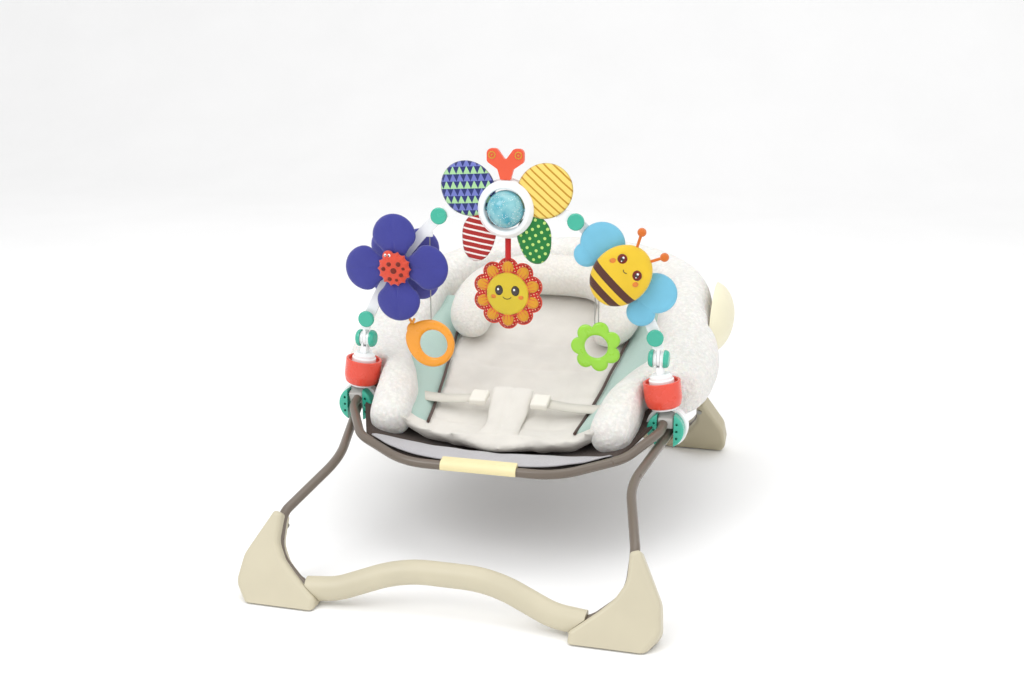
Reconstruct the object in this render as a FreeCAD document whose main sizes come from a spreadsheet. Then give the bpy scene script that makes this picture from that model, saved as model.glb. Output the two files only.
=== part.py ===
"""Baby bouncer seat with a toy arch, as a parametric FreeCAD document.

Millimetres. +Z is up, the head end is at +Y, the sitter's left and right are told from the front,
so "left" is -X. The origin lies on the floor under the middle of the whole object.
"""
import FreeCAD, Part
import Sketcher
import math
import os

os.makedirs("parts", exist_ok=True)
doc = FreeCAD.newDocument("bouncer_seat")
V = FreeCAD.Vector
X_AXIS, Y_AXIS, Z_AXIS = V(1, 0, 0), V(0, 1, 0), V(0, 0, 1)
SIDES = (("left", -1), ("right", 1))

# ------------------------------------------------------------------ driving dimensions
DIMENSIONS = (
    ("tube_diameter", 12.7), ("tube_wall", 1.2), ("fit_gap", 0.1), 
    ("side_x", 224), ("side_y", -66.5), ("side_z", 180), ("seat_tilt", 16.4),
    ("front_lean", 29.6), ("front_toe_y", -373), ("rear_lean", 27), ("rear_toe_y", 361),
    ("foot_thick", 32), ("foot_round", 6), ("foot_lift", 2.5), ("pad_long", 62), ("pad_wide", 22),
    ("cover_tall", 31), ("cover_thick", 24), ("leg_pin_s", 10), ("leg_pin_n", -21), ("pin_diameter", 5),
    ("rear_pivot_y", 269.5), ("rear_pivot_z", 240), ("rear_pivot_x", 232),
    ("hub_x", 227.3), ("hub_y", -55.5), ("hub_z", 170), ("post_tilt", 8), ("jaw_radius", 25.5),
    ("housing_radius", 29), ("jaw_thick", 16), ("housing_thick", 16), ("jaw_gap", 23.5),
    ("knob_base", 30), ("knob_tall", 37), ("knob_radius", 26), ("knob_bore", 18.2),
    ("barrel_z", 267), ("barrel_x", 213.5), ("barrel_radius", 10), ("barrel_wide", 14),
    ("dome_radius", 12.5), ("dome_thick", 7.2),
    ("link_x", 209), ("link_z", 298), ("crown_x", 97), ("crown_z", 452), ("strap_wide", 15),
    ("strap_thick", 5), ("strap_bow", 10), ("crown_bow", 26), ("button_radius", 11.7), ("button_thick", 5),
    ("axle_radius", 3), ("ring_z", 466), ("ring_outer", 39.5), ("ring_inner", 28.5), ("ring_thick", 18),
    ("ball_radius", 26), ("wing_thick", 3), ("petal_radius", 75), ("petal_thick", 6),
    ("flower_x", 157), ("flower_z", 378), ("bee_x", 162), ("bee_z", 384),
    ("sun_z", 346), ("sun_radius", 50), ("sun_thick", 7), ("ribbon_wide", 8), ("ribbon_thick", 1.6),
    ("snail_x", 114), ("snail_z", 266), ("snail_radius", 33), ("snail_hole", 19),
    ("teether_x", 126), ("teether_z", 278), ("teether_radius", 36), ("teether_hole", 16),
    ("cord_diameter", 1.6), ("toy_thick", 8),
    ("bolster_half", 37), ("bolster_rise", 31), ("sling_thick", 6),
    ("egg_tall", 50), ("egg_wide", 38), ("egg_long", 74),
)
sheet = doc.addObject("Spreadsheet::Sheet", "Sizes")
for line, (alias, value) in enumerate(DIMENSIONS, 1):
    sheet.set(f"A{line}", alias)
    sheet.set(f"B{line}", str(value))
    sheet.setAlias(f"B{line}", alias)
doc.recompute()


def size(alias):
    """Value of one driving dimension."""
    return float(sheet.get(alias))


TUBE = size("tube_diameter")
SEAT = FreeCAD.Placement(V(0, size("side_y"), size("side_z")), FreeCAD.Rotation(X_AXIS, size("seat_tilt")))
FRONT_FOOT = FreeCAD.Placement(V(0, size("front_toe_y"), 0), FreeCAD.Rotation(X_AXIS, -size("front_lean")))
REAR_FOOT = FreeCAD.Placement(V(0, size("rear_toe_y"), 0), FreeCAD.Rotation(X_AXIS, size("rear_lean")))
ARCH_Y = size("hub_y")
nodes = []


# ------------------------------------------------------------------ helpers
def keep(item, label):
    """Registers one object of the document as a sub-part."""
    item.Label = label
    nodes.append(item)
    return item


def bind(item, **formulas):
    """Binds properties to cells of the sheet; $ stands for the sheet's name."""
    for name, formula in formulas.items():
        item.setExpression(name, formula.replace("$", "Sizes."))
    return item


def solid(label, shape, placement=FreeCAD.Placement()):
    """A sub-part whose shape comes from Part's own functions."""
    item = doc.addObject("Part::Feature", label)
    item.Shape = shape
    item.Placement = placement.multiply(item.Placement)
    return keep(item, label)


def primitive(kind, place=V(0, 0, 0), axis=Z_AXIS, **formulas):
    """A Part primitive with its sizes bound to the sheet and its Z axis laid along axis."""
    item = doc.addObject(f"Part::{kind}", kind)
    item.Placement = FreeCAD.Placement(place, FreeCAD.Rotation(Z_AXIS, axis))
    return bind(item, **formulas)


def cut(base, *tools):
    """Base minus the tools, as chained Part::Cut objects."""
    for tool in tools:
        result = doc.addObject("Part::Cut", "Cut")
        result.Base = base
        result.Tool = tool
        base = result
    return base


def fuse(*items):
    result = doc.addObject("Part::MultiFuse", "Fuse")
    result.Shapes = list(items)
    return result


def rounded(points, radii, closed=False):
    """Straight runs through the points, joined by tangent arcs of the given radii."""
    count = len(points)
    points = [V(*point) for point in points]
    corners = []
    for index in range(count):
        radius = radii[index] if isinstance(radii, (list, tuple)) else radii
        inner = closed or 0 < index < count - 1
        if not inner or not radius:
            corners.append((points[index], None, points[index]))
            continue
        back = (points[index - 1] - points[index]).normalize()
        ahead = (points[(index + 1) % count] - points[index]).normalize()
        half = back.getAngle(ahead) / 2
        reach = radius / math.tan(half)
        bisector = (back + ahead).normalize()
        middle = points[index] + bisector * (radius / math.sin(half) - radius)
        corners.append((points[index] + back * reach, middle, points[index] + ahead * reach))
    edges = []
    for index in range(count):
        start, middle, end = corners[index]
        if middle is not None:
            edges.append(Part.Arc(start, middle, end))
        if index < count - 1 or closed:
            following = corners[(index + 1) % count][0]
            if (following - end).Length > 1e-6:
                edges.append(Part.LineSegment(end, following))
    return edges


def wire_of(edges):
    return Part.Wire([edge.toShape() for edge in edges])


def swept(edges, radius):
    """Round bar along a path, with its section square to the path's start."""
    wire = wire_of(edges)
    first = wire.OrderedEdges[0]
    start = first.valueAt(first.FirstParameter)
    tangent = first.tangentAt(first.FirstParameter)
    section = Part.Wire(Part.makeCircle(radius, start, tangent))
    return wire.makePipeShell([section], True, False)


def mirrored_run(points):
    """A path's left half joined to its mirror image."""
    return list(points) + [(-x, *rest) for x, *rest in reversed(points)]


def new_body(label):
    return keep(doc.addObject("PartDesign::Body", label), label)


def new_sketch(body, role, lift=0.0):
    """A sketch on one of the body's own origin planes, lifted along the plane's normal."""
    sketch = body.newObject("Sketcher::SketchObject", "Sketch")
    plane = next(feature for feature in body.Origin.OriginFeatures if feature.Role == role)
    sketch.AttachmentSupport = [(plane, "")]
    sketch.MapMode = "FlatFace"
    sketch.AttachmentOffset = FreeCAD.Placement(V(0, 0, lift), FreeCAD.Rotation())
    return sketch


def draw_circle(sketch, radius_formula):
    """Circle round the sketch's origin, its radius bound to the sheet."""
    index = sketch.addGeometry(Part.Circle(V(0, 0, 0), Z_AXIS, 10), False)
    sketch.addConstraint(Sketcher.Constraint("Coincident", index, 3, -1, 1))
    row = sketch.addConstraint(Sketcher.Constraint("Radius", index, 10))
    sketch.setExpression(f"Constraints[{row}]", radius_formula.replace("$", "Sizes."))


def draw_outline(sketch, points, radii):
    for edge in rounded([(x, y, 0) for x, y in points], radii, closed=True):
        sketch.addGeometry(edge, False)


def pad(body, sketch, length, symmetric=False, reverse=False):
    feature = body.newObject("PartDesign::Pad", "Pad")
    feature.Profile = sketch
    feature.SideType = "Symmetric" if symmetric else "One side"
    feature.Reversed = reverse
    return bind(feature, Length=length)


def fillet(body, radius, chosen):
    """Rounds the edges of the body's tip for which chosen(edge) is true."""
    doc.recompute()
    base = body.Tip
    names = [f"Edge{i}" for i, edge in enumerate(base.Shape.Edges, 1) if chosen(edge)]
    feature = body.newObject("PartDesign::Fillet", "Fillet")
    feature.Base = (base, names)
    bind(feature, Radius=radius)
    return feature


def revolved(body, points, radii):
    """Turns an outline in the body's XZ plane round its Z axis."""
    sketch = new_sketch(body, "XZ_Plane")
    draw_outline(sketch, points, radii)
    feature = body.newObject("PartDesign::Revolution", "Revolution")
    feature.Profile = sketch
    feature.ReferenceAxis = (sketch, ["V_Axis"])
    feature.Angle = 360
    return feature


def on_plane(edge, axis, value):
    """True if the whole edge lies at one value along an axis."""
    low = getattr(edge.BoundBox, f"{axis}Min")
    high = getattr(edge.BoundBox, f"{axis}Max")
    return abs(low - value) < 0.05 and abs(high - value) < 0.05


def bar(start, end, radius):
    """Plain round bar between two points."""
    start, end = V(*start), V(*end)
    return Part.makeCylinder(radius, (end - start).Length, start, end - start)


def block(x0, x1, y0, y1, z0, z1, radius=0.0):
    """Box from its corners, all edges rounded."""
    shape = Part.makeBox(x1 - x0, y1 - y0, z1 - z0, V(x0, y0, z0))
    return shape.makeFillet(radius, shape.Edges) if radius else shape


def plate(outline, thick, y_front, radii=3.0):
    """Flat plate facing forward, from an outline of (x, z) points."""
    wire = wire_of(rounded([(x, y_front, z) for x, z in outline], radii, closed=True))
    return Part.Face(wire).extrude(V(0, thick, 0))


def disc(radius, thick, x, y_front, z):
    return Part.makeCylinder(radius, thick, V(x, y_front, z), Y_AXIS)


# ------------------------------------------------------------------ base frames: two U-shaped tubes with feet
# Run of a base tube in the plane of its feet, as (x, height along that plane)
FOOT_RUN = ((231, 112), (229, 60), (184, 21), (140, 25), (58, 58))
FOOT_RADII = (50, 45, 100, 190)
# Fin-shaped foot in the same plane: apex, inner edge along the tube, inner tip, sole, outer edge
FOOT_OUTLINE = ((238, 114), (226, 110), (226, 74), (214, 53), (196, 36), (163, 9), (163, -16), (250, -16),
                (273, 18), (269, 54))
FOOT_ROUND = (5, 5, 36, 40, 3, 6, 5, 18, 22, 40)
# Region beyond the seam where the crossbar cover meets a foot
COVER_SEAM = ((210, 60), (195.4, 36), (162.4, 9), (162.4, -40), (260, -40), (260, 60))
LEG_TOP = SEAT.multVec(V(231, size("leg_pin_s"), size("leg_pin_n")))
REAR_TOP = V(size("rear_pivot_x"), size("rear_pivot_y"), size("rear_pivot_z"))


def in_plane(placement, x, height):
    return tuple(placement.multVec(V(x, 0, height)))


def base_tube(label, foot, upper, upper_radii, apex_radius, pin):
    """Bent steel tube from one top pivot through both feet to the other."""
    half = list(upper) + [in_plane(foot, x, height) for x, height in FOOT_RUN]
    radii = list(upper_radii) + [apex_radius] + list(FOOT_RADII)
    path = rounded(mirrored_run(half), radii + radii[::-1])
    outer = swept(path, TUBE / 2)
    shape = outer.cut(swept(path, TUBE / 2 - size("tube_wall")))
    hole = size("pin_diameter") / 2 + 0.05
    for side in (-1, 1):
        shape = shape.cut(bar((side * (pin.x - 12), pin.y, pin.z), (side * (pin.x + 12), pin.y, pin.z), hole))
    solid(label, shape)
    return outer


def foot_cap(label, side, foot, tube, screws):
    """Moulded fin outside the tube's bend, cut flat at the floor and grooved for the tube."""
    body = doc.addObject("PartDesign::Body", f"{label}_fin")
    sketch = new_sketch(body, "XZ_Plane")
    draw_outline(sketch, [(side * x, height) for x, height in FOOT_OUTLINE], FOOT_ROUND)
    pad(body, sketch, "$foot_thick", symmetric=True)
    fillet(body, "$foot_round", lambda edge: edge.BoundBox.YLength < 0.1)
    body.Placement = foot
    floor = primitive("Box", V(-300, foot.Base.y - 100, -80), Length="600 mm", Width="200 mm",
                      Height="80 mm + $foot_lift * 1 mm")
    groove = doc.addObject("Part::Feature", f"{label}_groove")
    groove.Shape = tube
    return keep(cut(body, floor, groove, screws), label)


def crossbar_cover(label, foot, tube):
    """Arched oval sleeve round the tube between the two feet, with slanted ends."""
    run = [(180, 21.3), (140, 25), (58, 58)]
    path = [(x, 0, height) for x, height in run]
    spine = wire_of(rounded(mirrored_run(path), [0, 100, 190, 190, 100, 0]))
    first = spine.OrderedEdges[0]
    start = first.valueAt(first.FirstParameter)
    tangent = first.tangentAt(first.FirstParameter)
    up = V(0, 1, 0).cross(tangent).normalize()
    tall, thick = size("cover_tall") / 2, size("cover_thick") / 2
    section = Part.Ellipse(start + up * tall, start + V(0, thick, 0), start)
    shape = spine.makePipeShell([Part.Wire(section.toShape())], True, False)
    for side in (-1, 1):
        outline = [V(side * x, -40, height) for x, height in COVER_SEAM]
        wedge = Part.Face(Part.makePolygon(outline + outline[:1])).extrude(V(0, 80, 0))
        shape = shape.cut(wedge)
    shape.transformShape(foot.toMatrix())
    return solid(label, shape.cut(tube))


def foot_details(prefix, foot):
    """Rubber pads under the feet, and the screws that hold the caps to the tube."""
    centre_y = foot.Base.y
    inward = 1 if centre_y < 0 else -1
    pads = []
    screws = []
    for side in (-1, 1):
        middle = side * 212
        half_long, half_wide = size("pad_long") / 2, size("pad_wide") / 2
        pad_shape = block(middle - half_long, middle + half_long, centre_y - half_wide, centre_y + half_wide,
                          0, size("foot_lift"))
        pads.append(pad_shape.makeFillet(4, [e for e in pad_shape.Edges if abs(e.tangentAt(0).z) > 0.9]))
        for x, height in ((231, 98), (196, 31)):
            back = foot.multVec(V(side * x, inward * 16, height))
            tip = foot.multVec(V(side * x, inward * (TUBE / 2 + 0.3), height))
            direction = (tip - back).normalize()
            head = Part.makeCylinder(4, 2, back - direction * 2, direction)
            shank = Part.makeCylinder(1.9, (tip - back).Length, back, direction)
            screws.append(head.fuse(shank))
    solid(f"{prefix}_foot_pads", Part.makeCompound(pads))
    return solid(f"{prefix}_foot_screws", Part.makeCompound(screws))


def base(prefix, foot, upper, upper_radii, apex_radius, pin):
    """One complete base: tube, two feet, crossbar cover, pads and screws."""
    bore = base_tube(f"{prefix}_leg_tube", foot, upper, upper_radii, apex_radius, pin)
    screws = foot_details(prefix, foot)
    for name, side in SIDES:
        foot_cap(f"{prefix}_foot_{name}", side, foot, bore, screws)
    crossbar_cover(f"{prefix}_crossbar_cover", foot, bore)


LEG_BEND = V(202, -194.5, 133)
leg_direction = LEG_BEND - LEG_TOP
leg_end = LEG_TOP - leg_direction * (8 / leg_direction.Length)
base("front", FRONT_FOOT, [tuple(leg_end), tuple(LEG_BEND)], (0, 150), 30, LEG_TOP)
rear_direction = V(*in_plane(REAR_FOOT, *FOOT_RUN[0])) - REAR_TOP
rear_end = REAR_TOP - rear_direction * (8 / rear_direction.Length)
base("rear", REAR_FOOT, [tuple(rear_end)], (0,), 30, REAR_TOP)

# ------------------------------------------------------------------ seat ring: front rim and back hoop
RIM_RUN = ((224, -1, 0), (224, -22, 0), (187, -92, 0), (106, -143, 0))
HOOP_RUN = ((224, 1, 0), (240, 235, 0), (214, 392, 0), (108, 462, 0))
rim_path = rounded(mirrored_run(RIM_RUN), [0, 40, 60, 110, 110, 60, 40, 0])
hoop_path = rounded(mirrored_run(HOOP_RUN), [0, 300, 75, 75, 75, 75, 300, 0])
for label, path in (("seat_front_tube", rim_path), ("seat_back_tube", hoop_path)):
    wall = swept(path, TUBE / 2).cut(swept(path, TUBE / 2 - size("tube_wall")))
    solid(label, wall, SEAT)
ring_bore = swept(rim_path, TUBE / 2 + size("fit_gap")).fuse(swept(hoop_path, TUBE / 2 + size("fit_gap")))


def side_joint(name, side):
    """Moulded knuckle where the ring's two tubes meet, with one cheek for the leg's pivot screw."""
    low, high = sorted((side * 216, side * 238))
    shape = block(low, high, -4, 18, -8.4, 8.4, 3)
    cheek_low, cheek_high = sorted((side * 216, side * 222.4))
    cheek = block(cheek_low, cheek_high, 1, 18, size("leg_pin_n") - 8, -4, 2)
    shape = shape.fuse(cheek).cut(ring_bore)
    pin_s, pin_n = size("leg_pin_s"), size("leg_pin_n")
    hole = bar((side * 210, pin_s, pin_n), (side * 230, pin_s, pin_n), size("pin_diameter") / 2)
    return solid(f"side_joint_{name}", shape.cut(hole), SEAT)


def pivot_screw(side, start_x, end_x, place, head=4.2):
    """Screw with a domed head outside the tube, along X."""
    seat_face = V(side * end_x, place.y, place.z)
    shank = bar((side * start_x, place.y, place.z), seat_face, size("pin_diameter") / 2)
    cap = Part.makeCylinder(head, 2.4, seat_face, V(side, 0, 0))
    crown_edge = [edge for edge in cap.Edges if on_plane(edge, "X", side * (end_x + 2.4))]
    return shank.fuse(cap.makeFillet(1.2, crown_edge))


for name, side in SIDES:
    side_joint(name, side)


def rear_bracket(side):
    """Fork clamped on the hoop, holding the rear leg's flat bolt between two cheeks."""
    x = REAR_TOP.x
    half = TUBE / 2 + 1
    low, high = sorted((side * (x - half - 4.5), side * (x + half + 4.5)))
    pivot_local = SEAT.inverse().multVec(REAR_TOP)
    s, n = pivot_local.y, pivot_local.z
    shape = block(low, high, s - 13, s + 13, n - 9, 9.5, 3)
    gap_low, gap_high = sorted((side * (x - half), side * (x + half)))
    shape = shape.cut(block(gap_low, gap_high, s - 20, s + 20, n - 20, n + 13.5))
    shape = shape.cut(ring_bore)
    hole = bar((side * (x - 20), s, n), (side * (x + 20), s, n), size("pin_diameter") / 2 + 0.05)
    return shape.cut(hole)


solid("rear_brackets", Part.makeCompound([rear_bracket(side) for _, side in SIDES]), SEAT)
leg_screws = [pivot_screw(side, 217, 240, LEG_TOP) for _, side in SIDES]
rear_screws = [pivot_screw(side, 219, 243.9, REAR_TOP) for _, side in SIDES]
solid("pivot_screws", Part.makeCompound(leg_screws + rear_screws))

# Cream clip over the middle of the rim, with three snap tabs under the tube
clip = Part.makeCylinder(TUBE / 2 + 2.4, 104, V(-52, -143, 0), X_AXIS)
clip = clip.cut(Part.makeBox(110, 30, 12, V(-55, -158, -13.5)))
clip = clip.fuse(block(-52, 52, -143, -134, 2, 9.5, 1.5)).cut(ring_bore)
solid("front_clip", clip, SEAT)

# ------------------------------------------------------------------ toy-arch clamps
HUB = V(size("hub_x"), ARCH_Y, size("hub_z"))
NECK_FOOT, COLLAR_SINK = 27.2, 5.5
# Slot for the ring's knuckle, and the wider one for the leg's screw head: (half width, top)
SLOTS = ((12.5, 194.4), (16, 174))


def post_placement(side):
    """Frame of one clamp: origin at the hub's middle, Z up the leaning post."""
    lean = FreeCAD.Rotation(Y_AXIS, -side * size("post_tilt"))
    return FreeCAD.Placement(V(side * HUB.x, HUB.y, HUB.z), lean)


def clamp_housing(side):
    """White round housing behind the jaws, open below for the tubes, with the neck the knob turns on."""
    body = doc.addObject("PartDesign::Body", "housing_disc")
    sketch = new_sketch(body, "XZ_Plane", 1.5)
    draw_circle(sketch, "$housing_radius")
    pad(body, sketch, "$housing_thick", reverse=True)
    fillet(body, "$foot_round / 3", lambda edge: edge.Curve.TypeId == "Part::GeomCircle")
    neck = primitive("Cylinder", V(0, 0, NECK_FOOT), Radius="$knob_bore - 0.08")
    neck.Height = size("knob_base") + size("knob_tall") - COLLAR_SINK - NECK_FOOT
    shell = fuse(body, neck)
    doc.recompute()
    shape = shell.Shape.copy()
    shape.transformShape(post_placement(side).toMatrix())
    for half, top in SLOTS:
        shape = shape.cut(block(side * HUB.x - half, side * HUB.x + half, HUB.y - 30, HUB.y + 30, 100, top))
    return shape


def jaw_shape(side, half):
    """One half of the split jaw disc, pressing on the knuckle from one side."""
    thick, radius, gap = size("jaw_thick"), size("jaw_radius"), size("jaw_gap") / 2
    shape = Part.makeCylinder(radius, thick, V(0, -18, 0), Y_AXIS)
    shape = shape.makeFillet(3, [edge for edge in shape.Edges if on_plane(edge, "Y", -18)])
    low, high = sorted((half * gap, half * 2 * radius))
    shape = shape.common(block(low, high, -30, 30, -2 * radius, 2 * radius))
    for z in (-10, 0, 10):
        shape = shape.cut(Part.makeCylinder(1.8, 8, V(half * (gap + 4), -20, z), Y_AXIS))
    return shape.transformed(FreeCAD.Placement(V(side * HUB.x, HUB.y, HUB.z), FreeCAD.Rotation()).toMatrix())


solid("clamp_housings", Part.makeCompound([clamp_housing(side) for _, side in SIDES]))
solid("fixed_jaws", Part.makeCompound([jaw_shape(side, -side) for _, side in SIDES]))
for name, side in SIDES:
    solid(f"sliding_jaw_{name}", jaw_shape(side, side))


def knob(name, side):
    """Red screw ring: a smooth cup turned round the post, with a raised lip on top."""
    body = new_body(f"clamp_knob_{name}")
    bore, outer = size("knob_bore"), size("knob_radius")
    floor, top = size("knob_base"), size("knob_base") + size("knob_tall")
    points = ((bore, floor), (outer - 3, floor), (outer, floor + 12), (outer, top), (outer - 3.5, top),
              (outer - 5, top - 6), (bore, top - 6))
    revolved(body, points, (0, 5, 20, 1.5, 1.5, 1, 0))
    body.Placement = post_placement(side)


def collar(side):
    """White stepped collar on the neck, ending in the fork that carries the hinge barrel."""
    top = size("knob_base") + size("knob_tall")
    steps = ((0, top - COLLAR_SINK), (17.4, top - COLLAR_SINK), (17.4, top + 2), (15.5, top + 3),
             (15.5, top + 7), (12, top + 10), (0, top + 10))
    wire = wire_of(rounded([(x, 0, z) for x, z in steps], (0, 0.6, 1, 0.6, 1.5, 2, 0), closed=True))
    shape = Part.Face(wire).revolve(V(0, 0, 0), Z_AXIS, 360)
    neck = block(-5, 5, -8, 8, top + 6, top + 33, 2)
    shape = shape.fuse(neck)
    shape.transformShape(post_placement(side).toMatrix())
    centre = V(side * size("barrel_x"), ARCH_Y, size("barrel_z"))
    room = Part.makeCylinder(size("barrel_radius") + 1, 4.8, centre - V(2.4, 0, 0), X_AXIS)
    upper = block(centre.x - 2.4, centre.x + 2.4, ARCH_Y - 12, ARCH_Y + 12, centre.z - 11, centre.z + 30)
    wide = size("barrel_wide")
    barrel = Part.makeCylinder(size("barrel_radius"), wide, centre - V(wide / 2, 0, 0), X_AXIS)
    shape = shape.fuse(barrel).cut(room).cut(upper)
    above = block(centre.x - 30, centre.x + 30, ARCH_Y - 20, ARCH_Y + 20, centre.z + 10.5, centre.z + 60)
    pin = Part.makeCylinder(3.05, 40, centre - V(20, 0, 0), X_AXIS)
    shape = shape.cut(above).cut(pin)
    for end in (-1, 1):
        face = centre + V(end * (wide / 2 + 0.1), 0, 0)
        shape = shape.cut(Part.makeCylinder(size("dome_radius") + 0.5, 12, face, V(end, 0, 0)))
    return shape


def hinge_pin(side):
    """Hinge pin with a teal dome pressed on each end."""
    centre = V(side * size("barrel_x"), ARCH_Y, size("barrel_z"))
    half = size("barrel_wide") / 2 + 0.2
    shape = Part.makeCylinder(3, 2 * half, centre - V(half, 0, 0), X_AXIS)
    for end in (-1, 1):
        thick = size("dome_thick")
        dome = Part.makeCylinder(size("dome_radius"), thick, centre + V(end * half, 0, 0), V(end, 0, 0))
        outer_rim = [edge for edge in dome.Edges if on_plane(edge, "X", centre.x + end * (half + thick))]
        shape = shape.fuse(dome.makeFillet(5.5, outer_rim))
    return shape


for name, side in SIDES:
    knob(name, side)
solid("clamp_collars", Part.makeCompound([collar(side) for _, side in SIDES]))
solid("hinge_pins", Part.makeCompound([hinge_pin(side) for _, side in SIDES]))


# ------------------------------------------------------------------ arch: links, straps, crown bar
def lower_link(side):
    """Short link from the hinge barrel to the first pivot button."""
    x0, z0 = side * size("barrel_x"), size("barrel_z")
    x1, z1 = side * size("link_x"), size("link_z")
    tongue = Part.makeCylinder(size("barrel_radius"), 4, V(x0 - 2, ARCH_Y, z0), X_AXIS)
    web = block(x0 - 2, x0 + 2, ARCH_Y - 8, ARCH_Y + 8, z0, z0 + 22)
    eye = disc(8.5, 5, x1, ARCH_Y - 8, z1)
    leaning = [(x0 - 7.5, z0 + 15), (x0 + 7.5, z0 + 15), (x1 + 7.5, z1), (x1 - 7.5, z1)]
    riser = plate(leaning, 5, ARCH_Y - 8, 1.5)
    shape = tongue.fuse([web, eye, riser])
    pin = Part.makeCylinder(3.05, 20, V(x0 - 10, ARCH_Y, z0), X_AXIS)
    return shape.cut(pin).cut(disc(size("axle_radius"), 20, x1, ARCH_Y - 12, z1))


def strap_middle(side, fraction):
    """Point on the bowed centre line of a side strap, 0 at the lower pivot and 1 at the upper."""
    low = V(side * size("link_x"), 0, size("link_z"))
    high = V(side * size("crown_x"), 0, size("crown_z"))
    chord = high - low
    outward = V(side * abs(chord.z), 0, abs(chord.x)).normalize()
    rise = size("strap_bow") * 4 * fraction * (1 - fraction)
    return low + chord * fraction + outward * rise


LUG_DROP = 15.5
LOOP_HALF = 2.6
CORD_GAP = 0.3


def strap_at(side, x):
    """Point on the strap's centre line above a given x, found by halving."""
    low, high = 0.0, 1.0
    for _ in range(30):
        middle = (low + high) / 2
        if abs(strap_middle(side, middle).x) > abs(x):
            low = middle
        else:
            high = middle
    return strap_middle(side, low)


def side_strap(name, side):
    """Flat bowed strap with an eye at each end."""
    y_front = ARCH_Y - 2.6
    low, middle, high = (strap_middle(side, fraction) for fraction in (0, 0.5, 1))
    arc = Part.Arc(V(low.x, 0, low.z), V(middle.x, 0, middle.z), V(high.x, 0, high.z)).toShape()
    half = size("strap_wide") / 2
    centre = arc.Curve.Center
    radius = arc.Curve.Radius

    def offset(point, amount):
        away = (point - centre).normalize()
        return centre + away * (radius + amount)

    points = [V(p.x, 0, p.z) for p in (low, middle, high)]
    outer = Part.Arc(*[offset(p, half) for p in points]).toShape()
    inner = Part.Arc(*[offset(p, -half) for p in points]).toShape()
    ends = [Part.makeLine(offset(points[0], -half), offset(points[0], half)),
            Part.makeLine(offset(points[2], -half), offset(points[2], half))]
    face = Part.Face(Part.Wire(Part.__sortEdges__([outer, inner] + ends)))
    shape = face.extrude(V(0, size("strap_thick"), 0))
    shape.translate(V(0, y_front, 0))
    for p in (points[0], points[2]):
        shape = shape.fuse(disc(half, size("strap_thick"), p.x, y_front, p.z))
        shape = shape.cut(disc(size("axle_radius") + 0.05, 20, p.x, y_front - 5, p.z))
    toy_x = side * (size("snail_x") if side < 0 else size("teether_x"))
    top = strap_at(side, toy_x).z
    lug = block(toy_x - 4.5, toy_x + 4.5, ARCH_Y - 2.3, ARCH_Y + 2.1, top - LUG_DROP, top, 1)
    boss_x, boss_z = (-size("flower_x"), size("flower_z")) if side < 0 else (size("bee_x"), size("bee_z"))
    boss = disc(6, 8, boss_x, ARCH_Y - 10, boss_z) if side > 0 else disc(8, 5, boss_x, y_front, boss_z)
    shape = shape.fuse([lug, boss])
    if side < 0:
        shape = shape.cut(disc(size("axle_radius") + 0.05, 20, boss_x, y_front - 5, boss_z))
    return solid(f"side_strap_{name}", shape)


def pivot_button(x, z):
    """Teal snap button: a domed head in front and the stub that the strap turns on."""
    head = disc(size("button_radius"), size("button_thick"), x, ARCH_Y - 13.2, z)
    head = head.makeFillet(2.2, [edge for edge in head.Edges if on_plane(edge, "Y", ARCH_Y - 13.2)])
    stub = disc(size("axle_radius"), 12.4, x, ARCH_Y - 8.2, z)
    tail = disc(6, 2, x, ARCH_Y + 2.8, z)
    return head.fuse([stub, tail])


solid("lower_links", Part.makeCompound([lower_link(side) for _, side in SIDES]))
for name, side in SIDES:
    side_strap(name, side)
for label, pivot in (("lower_buttons", "link"), ("upper_buttons", "crown")):
    pivot_x, pivot_z = size(f"{pivot}_x"), size(f"{pivot}_z")
    solid(label, Part.makeCompound([pivot_button(side * pivot_x, pivot_z) for _, side in SIDES]))

# Crown bar: flat bow in front of the strap ends, bored at each pivot
crown_half = size("strap_wide") / 2
crown_points = [V(-size("crown_x"), 0, size("crown_z")), V(0, 0, size("crown_z") + size("crown_bow")),
                V(size("crown_x"), 0, size("crown_z"))]
crown_arc = Part.Arc(*crown_points).toShape()
crown_centre, crown_radius = crown_arc.Curve.Center, crown_arc.Curve.Radius


def crown_offset(point, amount):
    return crown_centre + (point - crown_centre).normalize() * (crown_radius + amount)


crown_edges = [Part.Arc(*[crown_offset(p, amount) for p in crown_points]).toShape()
               for amount in (crown_half, -crown_half)]
crown_edges += [Part.makeLine(crown_offset(p, -crown_half), crown_offset(p, crown_half))
                for p in (crown_points[0], crown_points[2])]
crown_bar = Part.Face(Part.Wire(Part.__sortEdges__(crown_edges))).extrude(V(0, size("strap_thick"), 0))
crown_bar.translate(V(0, ARCH_Y - 8, 0))
for point in (crown_points[0], crown_points[2]):
    crown_bar = crown_bar.fuse(disc(crown_half, size("strap_thick"), point.x, ARCH_Y - 8, point.z))
    crown_bar = crown_bar.cut(disc(size("axle_radius"), 20, point.x, ARCH_Y - 12, point.z))
crown_bar = crown_bar.cut(disc(size("ring_outer"), 30, 0, ARCH_Y - 20, size("ring_z")))
back_plate = disc(size("ring_outer") + 2, 3, 0, ARCH_Y - 3, size("ring_z"))
back_plate = back_plate.cut(disc(size("ring_inner"), 10, 0, ARCH_Y - 5, size("ring_z")))
solid("crown_bar", crown_bar.fuse(back_plate))


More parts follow.
